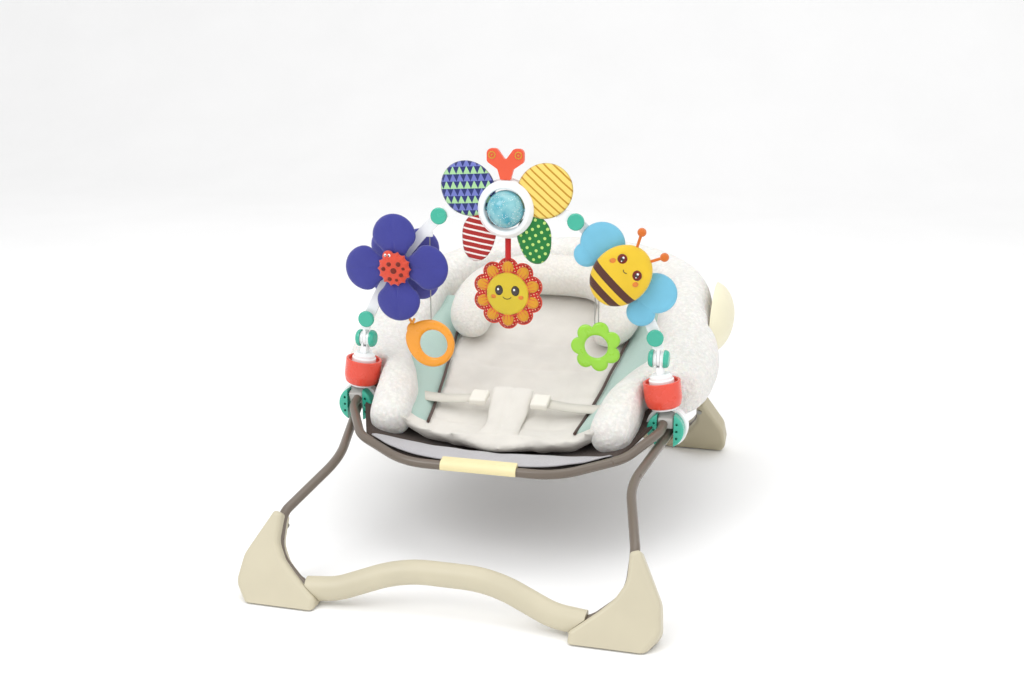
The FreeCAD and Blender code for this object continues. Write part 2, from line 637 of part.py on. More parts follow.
def medallion():
    """White ring round the spinning ball, with a socket at each side for the ball's trunnions."""
    body = new_body("medallion_ring")
    outer, inner, half = size("ring_outer"), size("ring_inner"), size("ring_thick") / 2
    points = ((inner, -half), (outer - 5, -half), (outer, -half + 6), (outer, half - 1), (inner, half - 1))
    revolved(body, points, (2, 3, 3, 1, 1))
    centre = V(0, ARCH_Y - 3 - (half - 1), size("ring_z"))
    body.Placement = FreeCAD.Placement(centre, FreeCAD.Rotation(X_AXIS, -90))
    return body


ring = medallion()
doc.recompute()
trunnion_y = ARCH_Y - 3 - size("ring_thick") / 2
socket = primitive("Cylinder", V(-33, trunnion_y, size("ring_z")), X_AXIS, Radius="$axle_radius - 0.45")
socket.Height = 66
nodes.remove(ring)
ring.Label = "medallion_ring_blank"
keep(cut(ring, socket), "medallion_ring")

ball = Part.makeSphere(size("ball_radius"), V(0, trunnion_y, size("ring_z")))
ball_core = Part.makeSphere(size("ball_radius") - 2, V(0, trunnion_y, size("ring_z")))
trunnion_ends = [(end, trunnion_y, size("ring_z")) for end in (-32.5, 32.5)]
trunnions = bar(*trunnion_ends, size("axle_radius") - 0.5)
solid("rattle_ball", ball.cut(ball_core).fuse(trunnions.cut(ball_core)))

# Four cloth wings behind the ring: two large above, two small below
WINGS = ((-54, 492, 40, 37, 35), (54, 492, 40, 37, -35), (-40, 425, 34, 27, -80), (40, 425, 34, 27, 80))
wings = []
for x, z, long_half, short_half, turn in WINGS:
    rim = Part.Ellipse(V(0, 0, 0), max(long_half, short_half + 0.5), short_half).toShape()
    wing = Part.Face(Part.Wire(rim)).extrude(V(0, 0, size("wing_thick")))
    wing.Placement = FreeCAD.Placement(V(x, ARCH_Y - 8.4, z), FreeCAD.Rotation(X_AXIS, 90))
    wing = wing.copy()
    wing.rotate(V(x, 0, z), Y_AXIS, turn)
    wing = wing.cut(disc(size("ring_outer") + 0.3, 40, 0, ARCH_Y - 30, size("ring_z")))
    wings.append(wing)
solid("butterfly_wings", Part.makeCompound(wings))

feelers = [(-7, 506), (7, 506), (11, 520), (26, 530), (26, 548), (12, 548), (0, 532), (-12, 548),
           (-26, 548), (-26, 530), (-11, 520)]
antenna = plate(feelers, 6, ARCH_Y - 15, (1, 1, 5, 6, 7, 6, 3, 6, 7, 6, 5))
solid("butterfly_antennae", antenna)


# ------------------------------------------------------------------ toys on the arch
def petals(x, z, y_front, thick, turn, reach):
    """Four round petals on a hub, bored for the axle."""
    lobes = []
    for index in range(4):
        angle = math.radians(turn + 90 * index)
        away = reach - 31
        lobe_x, lobe_z = x + away * math.cos(angle), z + away * math.sin(angle)
        lobes.append(disc(31, thick, lobe_x, y_front, lobe_z))
    shape = disc(26, thick, x, y_front, z).fuse(lobes).removeSplitter()
    return shape.cut(disc(size("axle_radius"), 30, x, y_front - 5, z))


flower_x, flower_z = -size("flower_x"), size("flower_z")
thick, reach = size("petal_thick"), size("petal_radius")
solid("flower_front_petals", petals(flower_x, flower_z, ARCH_Y - 24, thick, 12, reach))
solid("flower_rear_petals", petals(flower_x, flower_z, ARCH_Y + 12, thick, 57, reach - 6))
axle = disc(size("axle_radius"), 44, flower_x, ARCH_Y - 24, flower_z)
solid("flower_axle", axle)
ladybug = disc(26, 9, flower_x, ARCH_Y - 33.2, flower_z)
ladybug = ladybug.makeFillet(5, [edge for edge in ladybug.Edges if on_plane(edge, "Y", ARCH_Y - 33.2)])
solid("flower_ladybug", ladybug)

bee_x, bee_z = size("bee_x"), size("bee_z")
bee_turn = FreeCAD.Rotation(Y_AXIS, -45).multiply(FreeCAD.Rotation(X_AXIS, 90))
bee_front = ARCH_Y - 32
bee_rim = Part.Wire(Part.Ellipse(V(0, 0, 0), 46, 37).toShape())
bee = Part.Face(bee_rim).extrude(V(0, 0, 22))
bee = bee.makeFillet(8, [edge for edge in bee.Edges if edge.Curve.TypeId == "Part::GeomEllipse"])
bee.Placement = FreeCAD.Placement(V(bee_x, bee_front + 22, bee_z), bee_turn)
solid("bee_body", bee)
BEE_WINGS = ((-28, 40, 31), (-50, 24, 18), (46, -24, 29), (26, -52, 20))
wing_discs = [disc(radius, 3, bee_x + dx, bee_front + 22.4, bee_z + dz) for dx, dz, radius in BEE_WINGS]
solid("bee_wings", Part.makeCompound([wing_discs[0].fuse(wing_discs[1]), wing_discs[2].fuse(wing_discs[3])]))
stems = []
for tip, root in (((27, 60), (19, 33)), ((58, 28), (33, 19))):
    low_end, high_end = (V(bee_x + x, bee_front + 11, bee_z + z) for x, z in (root, tip))
    stem = bar(low_end, high_end, 2)
    stems.append(stem.fuse(Part.makeSphere(6, high_end)).cut(bee))
solid("bee_antennae", Part.makeCompound(stems))


def scalloped(x, z, y_front, thick, reach, lobes, lobe_radius, hole):
    """Disc with round scallops on its rim and a hole in the middle."""
    parts = []
    for index in range(lobes):
        angle = 2 * math.pi * (index + 0.5) / lobes
        away = reach - lobe_radius
        lobe_x, lobe_z = x + away * math.cos(angle), z + away * math.sin(angle)
        parts.append(disc(lobe_radius, thick, lobe_x, y_front, lobe_z))
    shape = disc(reach - lobe_radius, thick, x, y_front, z).fuse(parts).removeSplitter()
    return shape.cut(disc(hole, thick + 4, x, y_front - 2, z)) if hole else shape


sun_y = ARCH_Y - 4
sunflower = scalloped(0, size("sun_z"), sun_y, size("sun_thick"), size("sun_radius"), 10, 14, 0)
solid("sunflower", sunflower)
ribbon_half = size("ribbon_wide") / 2
ribbon_top = size("ring_z") - size("ring_outer") - 2.3
ribbon_middle = sun_y + size("sun_thick") / 2 - size("ribbon_thick") / 2
ribbon_back, ribbon_low = ribbon_middle + size("ribbon_thick"), size("sun_z") + size("sun_radius") + 0.4
ribbon = block(-ribbon_half, ribbon_half, ribbon_middle, ribbon_back, ribbon_low, ribbon_top)
solid("sunflower_ribbon", ribbon)


cord_half = size("cord_diameter") / 2
snail_x, snail_z = -size("snail_x"), size("snail_z")
snail = disc(size("snail_radius"), size("toy_thick"), snail_x, ARCH_Y - 4, snail_z)
neck_outline = [(snail_x - 33, snail_z), (snail_x - 32, snail_z + 27), (snail_x - 24, snail_z + 31),
                (snail_x - 14, snail_z + 20), (snail_x - 14, snail_z)]
snail = snail.fuse(plate(neck_outline, size("toy_thick"), ARCH_Y - 4, (2, 4, 4, 6, 2)))
snail = snail.cut(disc(size("snail_hole"), 20, snail_x + 3, ARCH_Y - 10, snail_z + 1))
solid("snail_ring", snail)
snail_top = snail_z + size("snail_radius")
snail_anchor = strap_at(-1, snail_x).z - LUG_DROP
solid("snail_cord", bar((snail_x, ARCH_Y, snail_top), (snail_x, ARCH_Y, snail_anchor - CORD_GAP), cord_half))

# The teether hangs on one cord doubled round a peg in its top petal
teether_x, teether_z = size("teether_x"), size("teether_z")
teether = scalloped(teether_x, teether_z, ARCH_Y - 4, size("toy_thick"), size("teether_radius"), 7, 12,
                    size("teether_hole"))
teether_anchor = strap_at(1, teether_x).z - LUG_DROP - CORD_GAP
loop_bottom = teether_z + size("teether_radius") - 10
loop_points = [(teether_x - LOOP_HALF, ARCH_Y, teether_anchor), (teether_x - LOOP_HALF, ARCH_Y, loop_bottom),
               (teether_x + LOOP_HALF, ARCH_Y, loop_bottom), (teether_x + LOOP_HALF, ARCH_Y, teether_anchor)]
loop_path = rounded(loop_points, LOOP_HALF - 0.01)
solid("flower_teether", teether.cut(swept(loop_path, cord_half + 0.3)))
solid("teether_cord", swept(loop_path, cord_half))

# ------------------------------------------------------------------ soft goods, as plain closed solids
# Side profile of the sling in the seat's plane: (distance along the seat, height above the ring)
SLING = ((-127, -1), (-96, -22), (-40, -46), (40, -52), (150, -46), (300, -34), (400, -22), (448, -4))


def extruded_profile(points, thick, half_width, lift):
    """Band of even thickness across the seat, following a side profile."""
    lower = [V(0, s, n + lift) for s, n in points]
    upper = [V(0, s, n + lift + thick) for s, n in reversed(points)]
    curve_low = Part.BSplineCurve()
    curve_low.interpolate(lower)
    curve_high = Part.BSplineCurve()
    curve_high.interpolate(upper)
    edges = [curve_low.toShape(), Part.makeLine(lower[-1], upper[0]), curve_high.toShape(),
             Part.makeLine(upper[-1], lower[0])]
    face = Part.Face(Part.Wire(edges))
    shape = face.extrude(V(2 * half_width, 0, 0))
    shape.translate(V(-half_width, 0, 0))
    return shape


def inside_ring(inset):
    """Upright prism inside the seat ring."""
    half = [(x - inset, s) for x, s, _ in HOOP_RUN[1:]]
    outline = [(206 - inset, 0)] + half[:2] + [(108 - inset / 2, 462 - inset)]
    front = [(104 - inset / 2, -143 + inset), (182 - inset, -92 + inset / 2)]
    loop = front + outline
    points = [V(x, s, -120) for x, s in loop] + [V(-x, s, -120) for x, s in reversed(loop)]
    return Part.Face(Part.makePolygon(points + points[:1])).extrude(V(0, 0, 240))


BOLSTER_RUN = ((150, -64, 2), (166, -8, 6), (219, 104, 5), (219, 240, 8), (194, 376, 8), (98, 440, 8))
BOLSTER_RADII = [0, 150, 200, 200, 75, 80]
bolster_spine = rounded(mirrored_run(BOLSTER_RUN), BOLSTER_RADII + BOLSTER_RADII[::-1])


def bolster_solid(half, rise):
    wire = wire_of(bolster_spine)
    first = wire.OrderedEdges[0]
    start, tangent = first.valueAt(first.FirstParameter), first.tangentAt(first.FirstParameter)
    across = tangent.cross(Z_AXIS).normalize()
    up = across.cross(tangent).normalize()
    section = Part.Ellipse(start + across * half, start + up * rise, start)
    return wire.makePipeShell([Part.Wire(section.toShape())], True, False)


bolster = bolster_solid(size("bolster_half"), size("bolster_rise"))
bolster = bolster.cut(swept(hoop_path, TUBE / 2 + 0.3)).cut(swept(rim_path, TUBE / 2 + 0.3))
pivot_local = SEAT.inverse().multVec(REAR_TOP)
for _, side in SIDES:
    low, high = sorted((side * 214, side * 262))
    bolster = bolster.cut(block(low, high, pivot_local.y - 15, pivot_local.y + 15, -60, 11))
    low, high = sorted((side * 187, side * 262))
    bolster = bolster.cut(block(low, high, -120, 60, -60, 70))
solid("plush_bolster", bolster, SEAT)

bolster_room = bolster_solid(size("bolster_half") + 0.5, size("bolster_rise") + 0.5)
sling = extruded_profile(SLING, size("sling_thick"), 230, 0).common(inside_ring(9)).cut(bolster_room)
solid("seat_sling", max(sling.Solids, key=lambda part: part.Volume), SEAT)

# Crescent head pillow on the upper end of the insert, tips pointing to the seat
pillow_arc = rounded([(-104, 190, 14), (-128, 352, 30), (128, 352, 30), (104, 190, 14)], [0, 100, 100, 0])
pillow = swept(pillow_arc, 29).cut(bolster_room)
solid("head_pillow", max(pillow.Solids, key=lambda part: part.Volume), SEAT)

insert = extruded_profile(SLING, 20, 128, size("sling_thick") + 0.4)
insert = insert.common(Part.makeBox(256, 482, 200, V(-128, -92, -100))).cut(bolster_room)
insert = insert.cut(swept(pillow_arc, 29.4))
solid("seat_insert", max(insert.Solids, key=lambda part: part.Volume), SEAT)

# Satin apron between the rim and the seat
apron = extruded_profile(SLING, 3, 148, size("sling_thick") + 0.3)
apron = apron.common(Part.makeBox(296, 31, 200, V(-148, -126.5, -100))).common(inside_ring(9))
apron = apron.cut(bolster_room)
solid("seat_apron", max(apron.Solids, key=lambda part: part.Volume), SEAT)

# Crotch pad with the two waist belts and their buckles
crotch = extruded_profile([(-62, -12), (-20, -20), (22, -12), (44, 8)], 10, 32, 0)
solid("crotch_pad", crotch, SEAT)
buckles = []
belts = []
for _, side in SIDES:
    low, high = sorted((side * 33, side * 58))
    buckles.append(block(low, high, 6, 34, -2, 8, 3))
    belt_low, belt_high = sorted((side * 59, side * 158))
    belts.append(block(belt_low, belt_high, 9, 31, 0, 2.4))
solid("waist_buckles", Part.makeCompound(buckles), SEAT)
solid("waist_belts", Part.makeCompound([belt.cut(bolster_room) for belt in belts]), SEAT)


# Cream moulded covers outside the rear legs' pivots: half an egg with a boss that meets the bracket
eggs = []
for inset in ("0 mm", "2.5 mm"):
    egg = primitive("Ellipsoid", V(250, 300, -2), Radius1=f"$egg_tall * 1 mm - {inset}",
                    Radius2=f"$egg_wide * 1 mm - {inset}", Radius3=f"$egg_long * 1 mm - {inset}")
    doc.recompute()
    eggs.append(egg.Shape)
outside = Part.makeBox(70, 400, 300, V(257.5, 60, -150))
boss = bar((247, pivot_local.y, pivot_local.z), (284, pivot_local.y, pivot_local.z), 7)
cover = eggs[0].cut(eggs[1]).common(outside).fuse(boss.common(eggs[0])).removeSplitter()
solid("joint_cover_right", cover, SEAT)
solid("joint_cover_left", cover.mirror(V(0, 0, 0), X_AXIS), SEAT)

# ------------------------------------------------------------------ checks and export
doc.recompute()
for item in doc.Objects:
    if "Invalid" in item.State or "Error" in item.State:
        raise RuntimeError(f"{item.Name} failed: {item.State}")
for node in nodes:
    shape = node.Shape
    if shape.isNull() or not shape.isValid() or not shape.Solids:
        raise RuntimeError(f"{node.Label} has no valid shape")
for node in nodes:
    node.Shape.exportStep(f"parts/{node.Label}.step")
    box = node.Shape.optimalBoundingBox(False, False)
    print(f"{node.Label:24s} solids {len(node.Shape.Solids)}  volume {node.Shape.Volume / 1000:8.1f} cm3",
          f" x {box.XMin:7.1f} {box.XMax:7.1f}  y {box.YMin:7.1f} {box.YMax:7.1f}",
          f" z {box.ZMin:7.1f} {box.ZMax:7.1f}")
print(len(nodes), "nodes")
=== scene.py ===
"""Looks of the baby bouncer: camera, light, materials, padding, cloth toys and cords on the CAD frame."""
import math

import bmesh
import bpy
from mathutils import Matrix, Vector, noise


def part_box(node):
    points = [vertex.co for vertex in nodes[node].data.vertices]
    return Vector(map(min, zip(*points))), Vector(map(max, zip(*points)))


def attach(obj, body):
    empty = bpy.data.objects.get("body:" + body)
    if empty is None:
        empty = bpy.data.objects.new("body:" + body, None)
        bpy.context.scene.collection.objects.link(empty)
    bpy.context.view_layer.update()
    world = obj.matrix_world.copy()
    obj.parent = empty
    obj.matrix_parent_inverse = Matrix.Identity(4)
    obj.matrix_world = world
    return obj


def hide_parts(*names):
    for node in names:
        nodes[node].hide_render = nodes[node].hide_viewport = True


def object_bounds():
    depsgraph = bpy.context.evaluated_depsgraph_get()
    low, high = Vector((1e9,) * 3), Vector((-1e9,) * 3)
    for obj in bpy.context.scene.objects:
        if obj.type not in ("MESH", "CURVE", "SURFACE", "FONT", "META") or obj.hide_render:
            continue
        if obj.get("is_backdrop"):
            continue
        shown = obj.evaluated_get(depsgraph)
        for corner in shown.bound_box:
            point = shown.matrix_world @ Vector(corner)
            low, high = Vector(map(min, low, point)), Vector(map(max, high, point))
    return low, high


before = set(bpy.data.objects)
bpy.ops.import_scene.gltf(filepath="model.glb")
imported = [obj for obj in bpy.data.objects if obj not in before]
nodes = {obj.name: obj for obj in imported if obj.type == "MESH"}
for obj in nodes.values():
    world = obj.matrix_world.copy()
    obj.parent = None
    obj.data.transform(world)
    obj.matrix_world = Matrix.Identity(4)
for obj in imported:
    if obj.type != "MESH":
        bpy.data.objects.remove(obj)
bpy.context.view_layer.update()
scene = bpy.context.scene
MM = 0.001
FULL_TURN = 2 * math.pi

# ------------------------------------------------------------------ camera and light
camera_data = bpy.data.cameras.new("photo_camera")
camera_data.lens = 44.84
camera_data.sensor_width = 36
camera_data.dof.use_dof = False
camera = bpy.data.objects.new("photo_camera", camera_data)
scene.collection.objects.link(camera)
camera.location = (0.460, -1.7285, 0.735)
CAMERA_TARGET = Vector((0.0106, -0.0745, 0.2821))
aim = CAMERA_TARGET - camera.location
camera.rotation_euler = aim.to_track_quat("-Z", "Y").to_euler()
scene.camera = camera


def softbox(name, place, target, side, power):
    """Square studio light, sized in metres and watts, aimed at a point."""
    data = bpy.data.lights.new(name, "AREA")
    data.size = side
    data.energy = power
    lamp = bpy.data.objects.new(name, data)
    scene.collection.objects.link(lamp)
    lamp.location = place
    lamp.rotation_euler = (Vector(target) - Vector(place)).to_track_quat("-Z", "Y").to_euler()


softbox("key_light", (-1.3, -1.9, 2.3), (0, 0, 0.2), 1.6, 27)
softbox("top_light", (0.2, 0.2, 2.6), (0, 0, 0), 2.4, 21)
softbox("fill_light", (2.2, -1.4, 1.2), (0, 0, 0.25), 2.0, 8)
world = bpy.data.worlds.new("studio")
world.use_nodes = True
background = world.node_tree.nodes["Background"]
background.inputs["Color"].default_value = (1, 1, 1, 1)
background.inputs["Strength"].default_value = 0.88
scene.world = world
scene.view_settings.view_transform = "Standard"


# ------------------------------------------------------------------ material kit
def rgb(code):
    """Linear colour of a six-digit hex code."""
    parts = [int(code[i:i + 2], 16) / 255 for i in (0, 2, 4)]
    return tuple(((c + 0.055) / 1.055) ** 2.4 if c > 0.04045 else c / 12.92 for c in parts) + (1.0,)


class Look:
    """A node material in object coordinates, in metres."""

    def __init__(self, name, rough=0.5, **sockets):
        self.material = bpy.data.materials.new(name)
        self.material.use_nodes = True
        self.tree = self.material.node_tree
        self.shader = self.tree.nodes["Principled BSDF"]
        self.shader.inputs["Roughness"].default_value = rough
        for key, value in sockets.items():
            self.shader.inputs[key.replace("_", " ")].default_value = value
        self.coords = self.node("TexCoord").outputs["Object"]
        split = self.node("SeparateXYZ", {"Vector": self.coords})
        self.x, self.y, self.z = split.outputs

    def node(self, kind, inputs=None, **settings):
        made = self.tree.nodes.new("ShaderNode" + kind)
        for key, value in settings.items():
            setattr(made, key, value)
        for key, value in (inputs or {}).items():
            if isinstance(value, bpy.types.NodeSocket):
                self.tree.links.new(value, made.inputs[key])
            else:
                made.inputs[key].default_value = value
        return made

    def math(self, operation, first, second=0.0):
        made = self.node("Math", {0: first, 1: second}, operation=operation)
        return made.outputs[0]

    def mix(self, factor, first, second):
        made = self.node("Mix", {0: factor, 6: first, 7: second}, data_type="RGBA")
        return made.outputs[2]

    def noise(self, scale, detail=2.0, rough=0.5):
        settings = {"Vector": self.coords, "Scale": scale, "Detail": detail, "Roughness": rough}
        return self.node("TexNoise", settings).outputs[0]

    def cells(self, scale, feature="F1"):
        made = self.node("TexVoronoi", {"Vector": self.coords, "Scale": scale}, feature=feature)
        return made.outputs["Distance"]

    def ramp(self, value, low, high, to_low=0.0, to_high=1.0):
        made = self.node("MapRange", {0: value, 1: low, 2: high, 3: to_low, 4: to_high})
        return made.outputs[0]

    def turned(self, centre, angle):
        """Coordinates in a toy's own upright plane, turned about its middle."""
        dx = self.math("SUBTRACT", self.x, centre[0])
        dz = self.math("SUBTRACT", self.z, centre[2])
        cosine, sine = math.cos(angle), math.sin(angle)
        u = self.math("ADD", self.math("MULTIPLY", dx, cosine), self.math("MULTIPLY", dz, sine))
        v = self.math("SUBTRACT", self.math("MULTIPLY", dz, cosine), self.math("MULTIPLY", dx, sine))
        return u, v

    def paint(self, colour):
        if isinstance(colour, bpy.types.NodeSocket):
            self.tree.links.new(colour, self.shader.inputs["Base Color"])
        else:
            self.shader.inputs["Base Color"].default_value = colour
        return self

    def roughen(self, value):
        self.tree.links.new(value, self.shader.inputs["Roughness"])

    def bump(self, height, distance):
        made = self.node("Bump", {"Height": height, "Distance": distance, "Strength": 1.0})
        self.tree.links.new(made.outputs[0], self.shader.inputs["Normal"])
        return self

    def weave(self, pitch):
        """Plain weave height: warp and weft crossing in the seat's plane and upright."""
        turn = FULL_TURN / pitch
        warp = self.math("SINE", self.math("MULTIPLY", self.x, turn))
        run = self.math("ADD", self.y, self.z)
        weft = self.math("SINE", self.math("MULTIPLY", run, turn * 0.8))
        return self.math("MULTIPLY", warp, weft)


def shade(colour, amount):
    """The colour made lighter or darker by a factor."""
    return tuple(min(1.0, c * amount) for c in colour[:3]) + (1.0,)


def moulded(name, code, rough=0.35, coat=0.0, grain=0.00003, specular=0.5):
    """Injection-moulded plastic: faint mottling, fine grain and uneven gloss."""
    look = Look(name, rough, Coat_Weight=coat, Coat_Roughness=0.12, Specular_IOR_Level=specular)
    base = rgb(code)
    cloud = look.ramp(look.noise(14, 3), 0.35, 0.7)
    look.paint(look.mix(cloud, shade(base, 0.955), shade(base, 1.03)))
    look.roughen(look.ramp(look.noise(60, 4), 0.3, 0.75, rough * 0.85, rough * 1.2))
    look.bump(look.noise(1400, 2), grain)
    return look.material


def woven(name, code, pitch=0.0011, rough=0.8, sheen=0.25, depth=0.00012, mottle=0.08):
    """Woven cloth with a little tonal drift, and painted shade in the hollows between its threads."""
    look = Look(name, rough, Sheen_Weight=sheen, Sheen_Roughness=0.45, Specular_IOR_Level=0.25)
    base = rgb(code)
    drift = look.ramp(look.noise(22, 4), 0.3, 0.7)
    cloud = look.mix(drift, shade(base, 1 - mottle), shade(base, 1 + mottle / 2))
    threads = look.weave(pitch)
    # painted shade: the cloth is darkened towards 0.62 of its colour where the thread height is low
    look.paint(look.mix(look.ramp(threads, -1, 1, 0.16, 0.0), cloud, shade(base, 0.62)))
    creases = look.math("MULTIPLY", look.noise(28, 5, 0.6), 9.0)
    look.bump(look.math("ADD", threads, creases), depth)
    return look.material


def plush(name, code, nub, depth, hollow_shade=0.89):
    """Short curly pile: nubs with painted shade in their hollows, and softer large-scale drift."""
    look = Look(name, 0.95, Sheen_Weight=0.6, Sheen_Roughness=0.35, Specular_IOR_Level=0.1,
                Subsurface_Weight=0.12, Subsurface_Scale=0.006)
    base = rgb(code)
    curly = look.node("TexNoise", {"Vector": look.coords, "Scale": nub, "Detail": 3.0, "Distortion": 1.6})
    curl = curly.outputs[0]
    nubs = look.cells(nub * 0.62, "SMOOTH_F1")
    height = look.math("SUBTRACT", look.math("MULTIPLY", curl, 1.2), nubs)
    drift = look.mix(look.ramp(look.noise(18, 3), 0.3, 0.72), shade(base, 0.95), shade(base, 1.03))
    # painted shade: the pile is made darker where the nub height is low, in the hollows between the nubs
    look.paint(look.mix(look.ramp(height, 0.0, 0.42, 1.0, 0.0), drift, shade(base, hollow_shade)))
    look.bump(height, depth)
    return look.material


# ------------------------------------------------------------------ shape kit
class Shape:
    """Gathers points and faces of one piece."""

    def __init__(self):
        self.points = []
        self.faces = []

    def add(self, points, faces):
        start = len(self.points)
        self.points += [Vector(p) for p in points]
        self.faces += [tuple(start + i for i in face) for face in faces]

    def loft(self, rings, caps=True):
        """Skin over closed rings of equal length."""
        count = len(rings[0])
        points = [p for ring in rings for p in ring]
        faces = []
        for row in range(len(rings) - 1):
            for k in range(count):
                a, b = row * count + k, row * count + (k + 1) % count
                faces.append((a, b, b + count, a + count))
        if caps:
            for row in (0, len(rings) - 1):
                middle = sum((Vector(p) for p in rings[row]), Vector()) / count
                points.append(middle)
                hub = len(points) - 1
                faces += [(row * count + k, row * count + (k + 1) % count, hub) for k in range(count)]
        self.add(points, faces)

    def puff(self, centre, outline, thick, turn=0.0, rings=9, spokes=72, crown=0.5, crease=None, flat=3.0):
        """Stuffed flat pad in the upright plane, its two sides meeting in a seam on the outline."""
        centre = Vector(centre)
        points = [centre + Vector((0, side * thick / 2, 0)) for side in (-1, 1)]
        faces = []
        rows = {-1: [], 1: []}
        for j in range(1, rings + 1):
            rho = j / rings
            for side in (-1, 1):
                if j == rings and side == 1:
                    rows[1].append(rows[-1][-1])
                    continue
                row = []
                for k in range(spokes):
                    angle = FULL_TURN * k / spokes
                    reach = outline(angle) * rho
                    rise = thick / 2 * max(0.0, 1 - rho ** flat) ** crown
                    if crease:
                        rise *= crease(angle, rho)
                    place = angle + turn
                    offset = Vector((reach * math.cos(place), side * rise, reach * math.sin(place)))
                    row.append(len(points))
                    points.append(centre + offset)
                rows[side].append(row)
        for hub, side in enumerate((-1, 1)):
            first = rows[side][0]
            faces += [(hub, first[k], first[(k + 1) % spokes]) for k in range(spokes)]
            for inner, outer in zip(rows[side], rows[side][1:]):
                for k in range(spokes):
                    after = (k + 1) % spokes
                    faces.append((inner[k], outer[k], outer[after], inner[after]))
        self.add(points, faces)

    def annulus(self, centre, outline, hole_centre, hole, thick, spokes=120, section=14):
        """Rounded flat ring in the upright plane between an outline and a round hole."""
        rings = []
        for k in range(spokes):
            angle = FULL_TURN * k / spokes
            away = Vector((math.cos(angle), 0, math.sin(angle)))
            outer = Vector(centre) + away * outline(angle)
            inner = Vector(hole_centre) + away * hole
            middle, half = (outer + inner) / 2, (outer - inner) / 2
            ring = []
            for j in range(section):
                across, rise = squarish(FULL_TURN * j / section, 0.75)
                ring.append(middle + half * across + Vector((0, thick / 2 * rise, 0)))
            rings.append(ring)
        self.loft(rings + [rings[0]], caps=False)

    def tube(self, path, radius, sides=10):
        """Round bar along points, with one radius or one for each point."""
        path = [Vector(p) for p in path]
        radii = radius if isinstance(radius, (list, tuple)) else [radius] * len(path)
        normal = None
        rings = []
        for i, p in enumerate(path):
            tangent = (path[min(i + 1, len(path) - 1)] - path[max(i - 1, 0)]).normalized()
            if normal is None:
                normal = tangent.orthogonal().normalized()
            normal = (normal - tangent * normal.dot(tangent)).normalized()
            other = tangent.cross(normal)
            turns = [FULL_TURN * k / sides for k in range(sides)]
            rings.append([p + (normal * math.cos(t) + other * math.sin(t)) * radii[i] for t in turns])
        self.loft(rings)

    def item(self, name, material, weld=0.0):
        """Makes the object and gives it its material."""
        mesh = bpy.data.meshes.new(name)
        mesh.from_pydata([tuple(p) for p in self.points], [], self.faces)
        work = bmesh.new()
        work.from_mesh(mesh)
        if weld:
            bmesh.ops.remove_doubles(work, verts=work.verts, dist=weld)
        else:
            bmesh.ops.recalc_face_normals(work, faces=work.faces)
        work.to_mesh(mesh)
        work.free()
        mesh.shade_smooth()
        mesh.materials.append(material)
        made = bpy.data.objects.new(name, mesh)
        scene.collection.objects.link(made)
        return made

    def piece(self, name, material, body, replaces=(), subdivide=0):
        """Makes the object and lets it ride on a CAD body."""
        item = self.item(name, material)
        if subdivide:
            rounder = item.modifiers.new("Rounder", "SUBSURF")
            rounder.levels = rounder.render_levels = subdivide
        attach(item, body)
        if replaces:
            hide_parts(*replaces)
        return item


def soft_step(value):
    """Smooth rise from 0 at 0 to 1 at 1."""
    t = min(1.0, max(0.0, value))
    return t * t * (3 - 2 * t)


def bell(value, middle, width):
    """Smooth bump of height 1 about a middle."""
    return math.exp(-((value - middle) / width) ** 2)


def squarish(angle, power):
    """Cosine and sine of a section that is squarer than a circle when power is below 1."""
    cosine, sine = math.cos(angle), math.sin(angle)
    return math.copysign(abs(cosine) ** power, cosine), math.copysign(abs(sine) ** power, sine)


def ellipse(along, across):
    """Outline of an ellipse as a distance for each angle."""
    return lambda t: along * across / math.hypot(across * math.cos(t), along * math.sin(t))


def scallops(reach, count, lobe):
    """Outline of a ring of round lobes, the first one half a step round."""
    away = reach - lobe
    step = FULL_TURN / count

    def outline(t):
        swing = t % step - step / 2
        return away * math.cos(swing) + math.sqrt(max(0.0, lobe ** 2 - (away * math.sin(swing)) ** 2))

    return outline


def disc(radius):
    """Outline of a circle."""
    return lambda t: radius


def edge_line(centre, outline, steps):
    """Closed line along an outline in the upright plane."""
    turns = (FULL_TURN * k / steps for k in range(steps + 1))
    return [centre + Vector((outline(t) * math.cos(t), 0, outline(t) * math.sin(t))) for t in turns]


def smooth_path(points, steps):
    """Catmull-Rom curve through points, with a number of steps between each two."""
    points = [Vector(p) for p in points]
    padded = [points[0] * 2 - points[1]] + points + [points[-1] * 2 - points[-2]]
    result = []
    for i in range(len(points) - 1):
        p0, p1, p2, p3 = padded[i:i + 4]
        for j in range(steps):
            t = j / steps
            result.append(0.5 * ((2 * p1) + (p2 - p0) * t + (2 * p0 - 5 * p1 + 4 * p2 - p3) * t * t
                                 + (3 * p1 - p0 - 3 * p2 + p3) * t ** 3))
    return result + [points[-1]]


def inflate(item, voxel, pressure, cap):
    """Lets a closed pad swell like stuffed cloth, keeping each point near where it started."""
    even = item.modifiers.new("Even", "REMESH")
    even.mode = "VOXEL"
    even.voxel_size = voxel
    graph = bpy.context.evaluated_depsgraph_get()
    mesh = bpy.data.meshes.new_from_object(item.evaluated_get(graph))
    item.modifiers.clear()
    mesh.materials.clear()
    mesh.materials.append(item.data.materials[0])
    item.data = mesh
    start = [v.co.copy() for v in mesh.vertices]
    air = item.modifiers.new("Air", "CLOTH")
    air.settings.use_pressure = True
    air.settings.uniform_pressure_force = pressure
    air.settings.effector_weights.gravity = 0
    air.settings.quality = 4
    for number in range(1, 21):
        scene.frame_set(number)
    graph = bpy.context.evaluated_depsgraph_get()
    swollen = [v.co.copy() for v in item.evaluated_get(graph).data.vertices]
    item.modifiers.clear()
    scene.frame_set(1)
    for vertex, old, new in zip(mesh.vertices, start, swollen):
        shift = new - old
        if shift.length > cap:
            shift = shift * (cap / shift.length)
        vertex.co = old + shift
    mesh.shade_smooth()
    rounder = item.modifiers.new("Rounder", "SUBSURF")
    rounder.levels = rounder.render_levels = 1


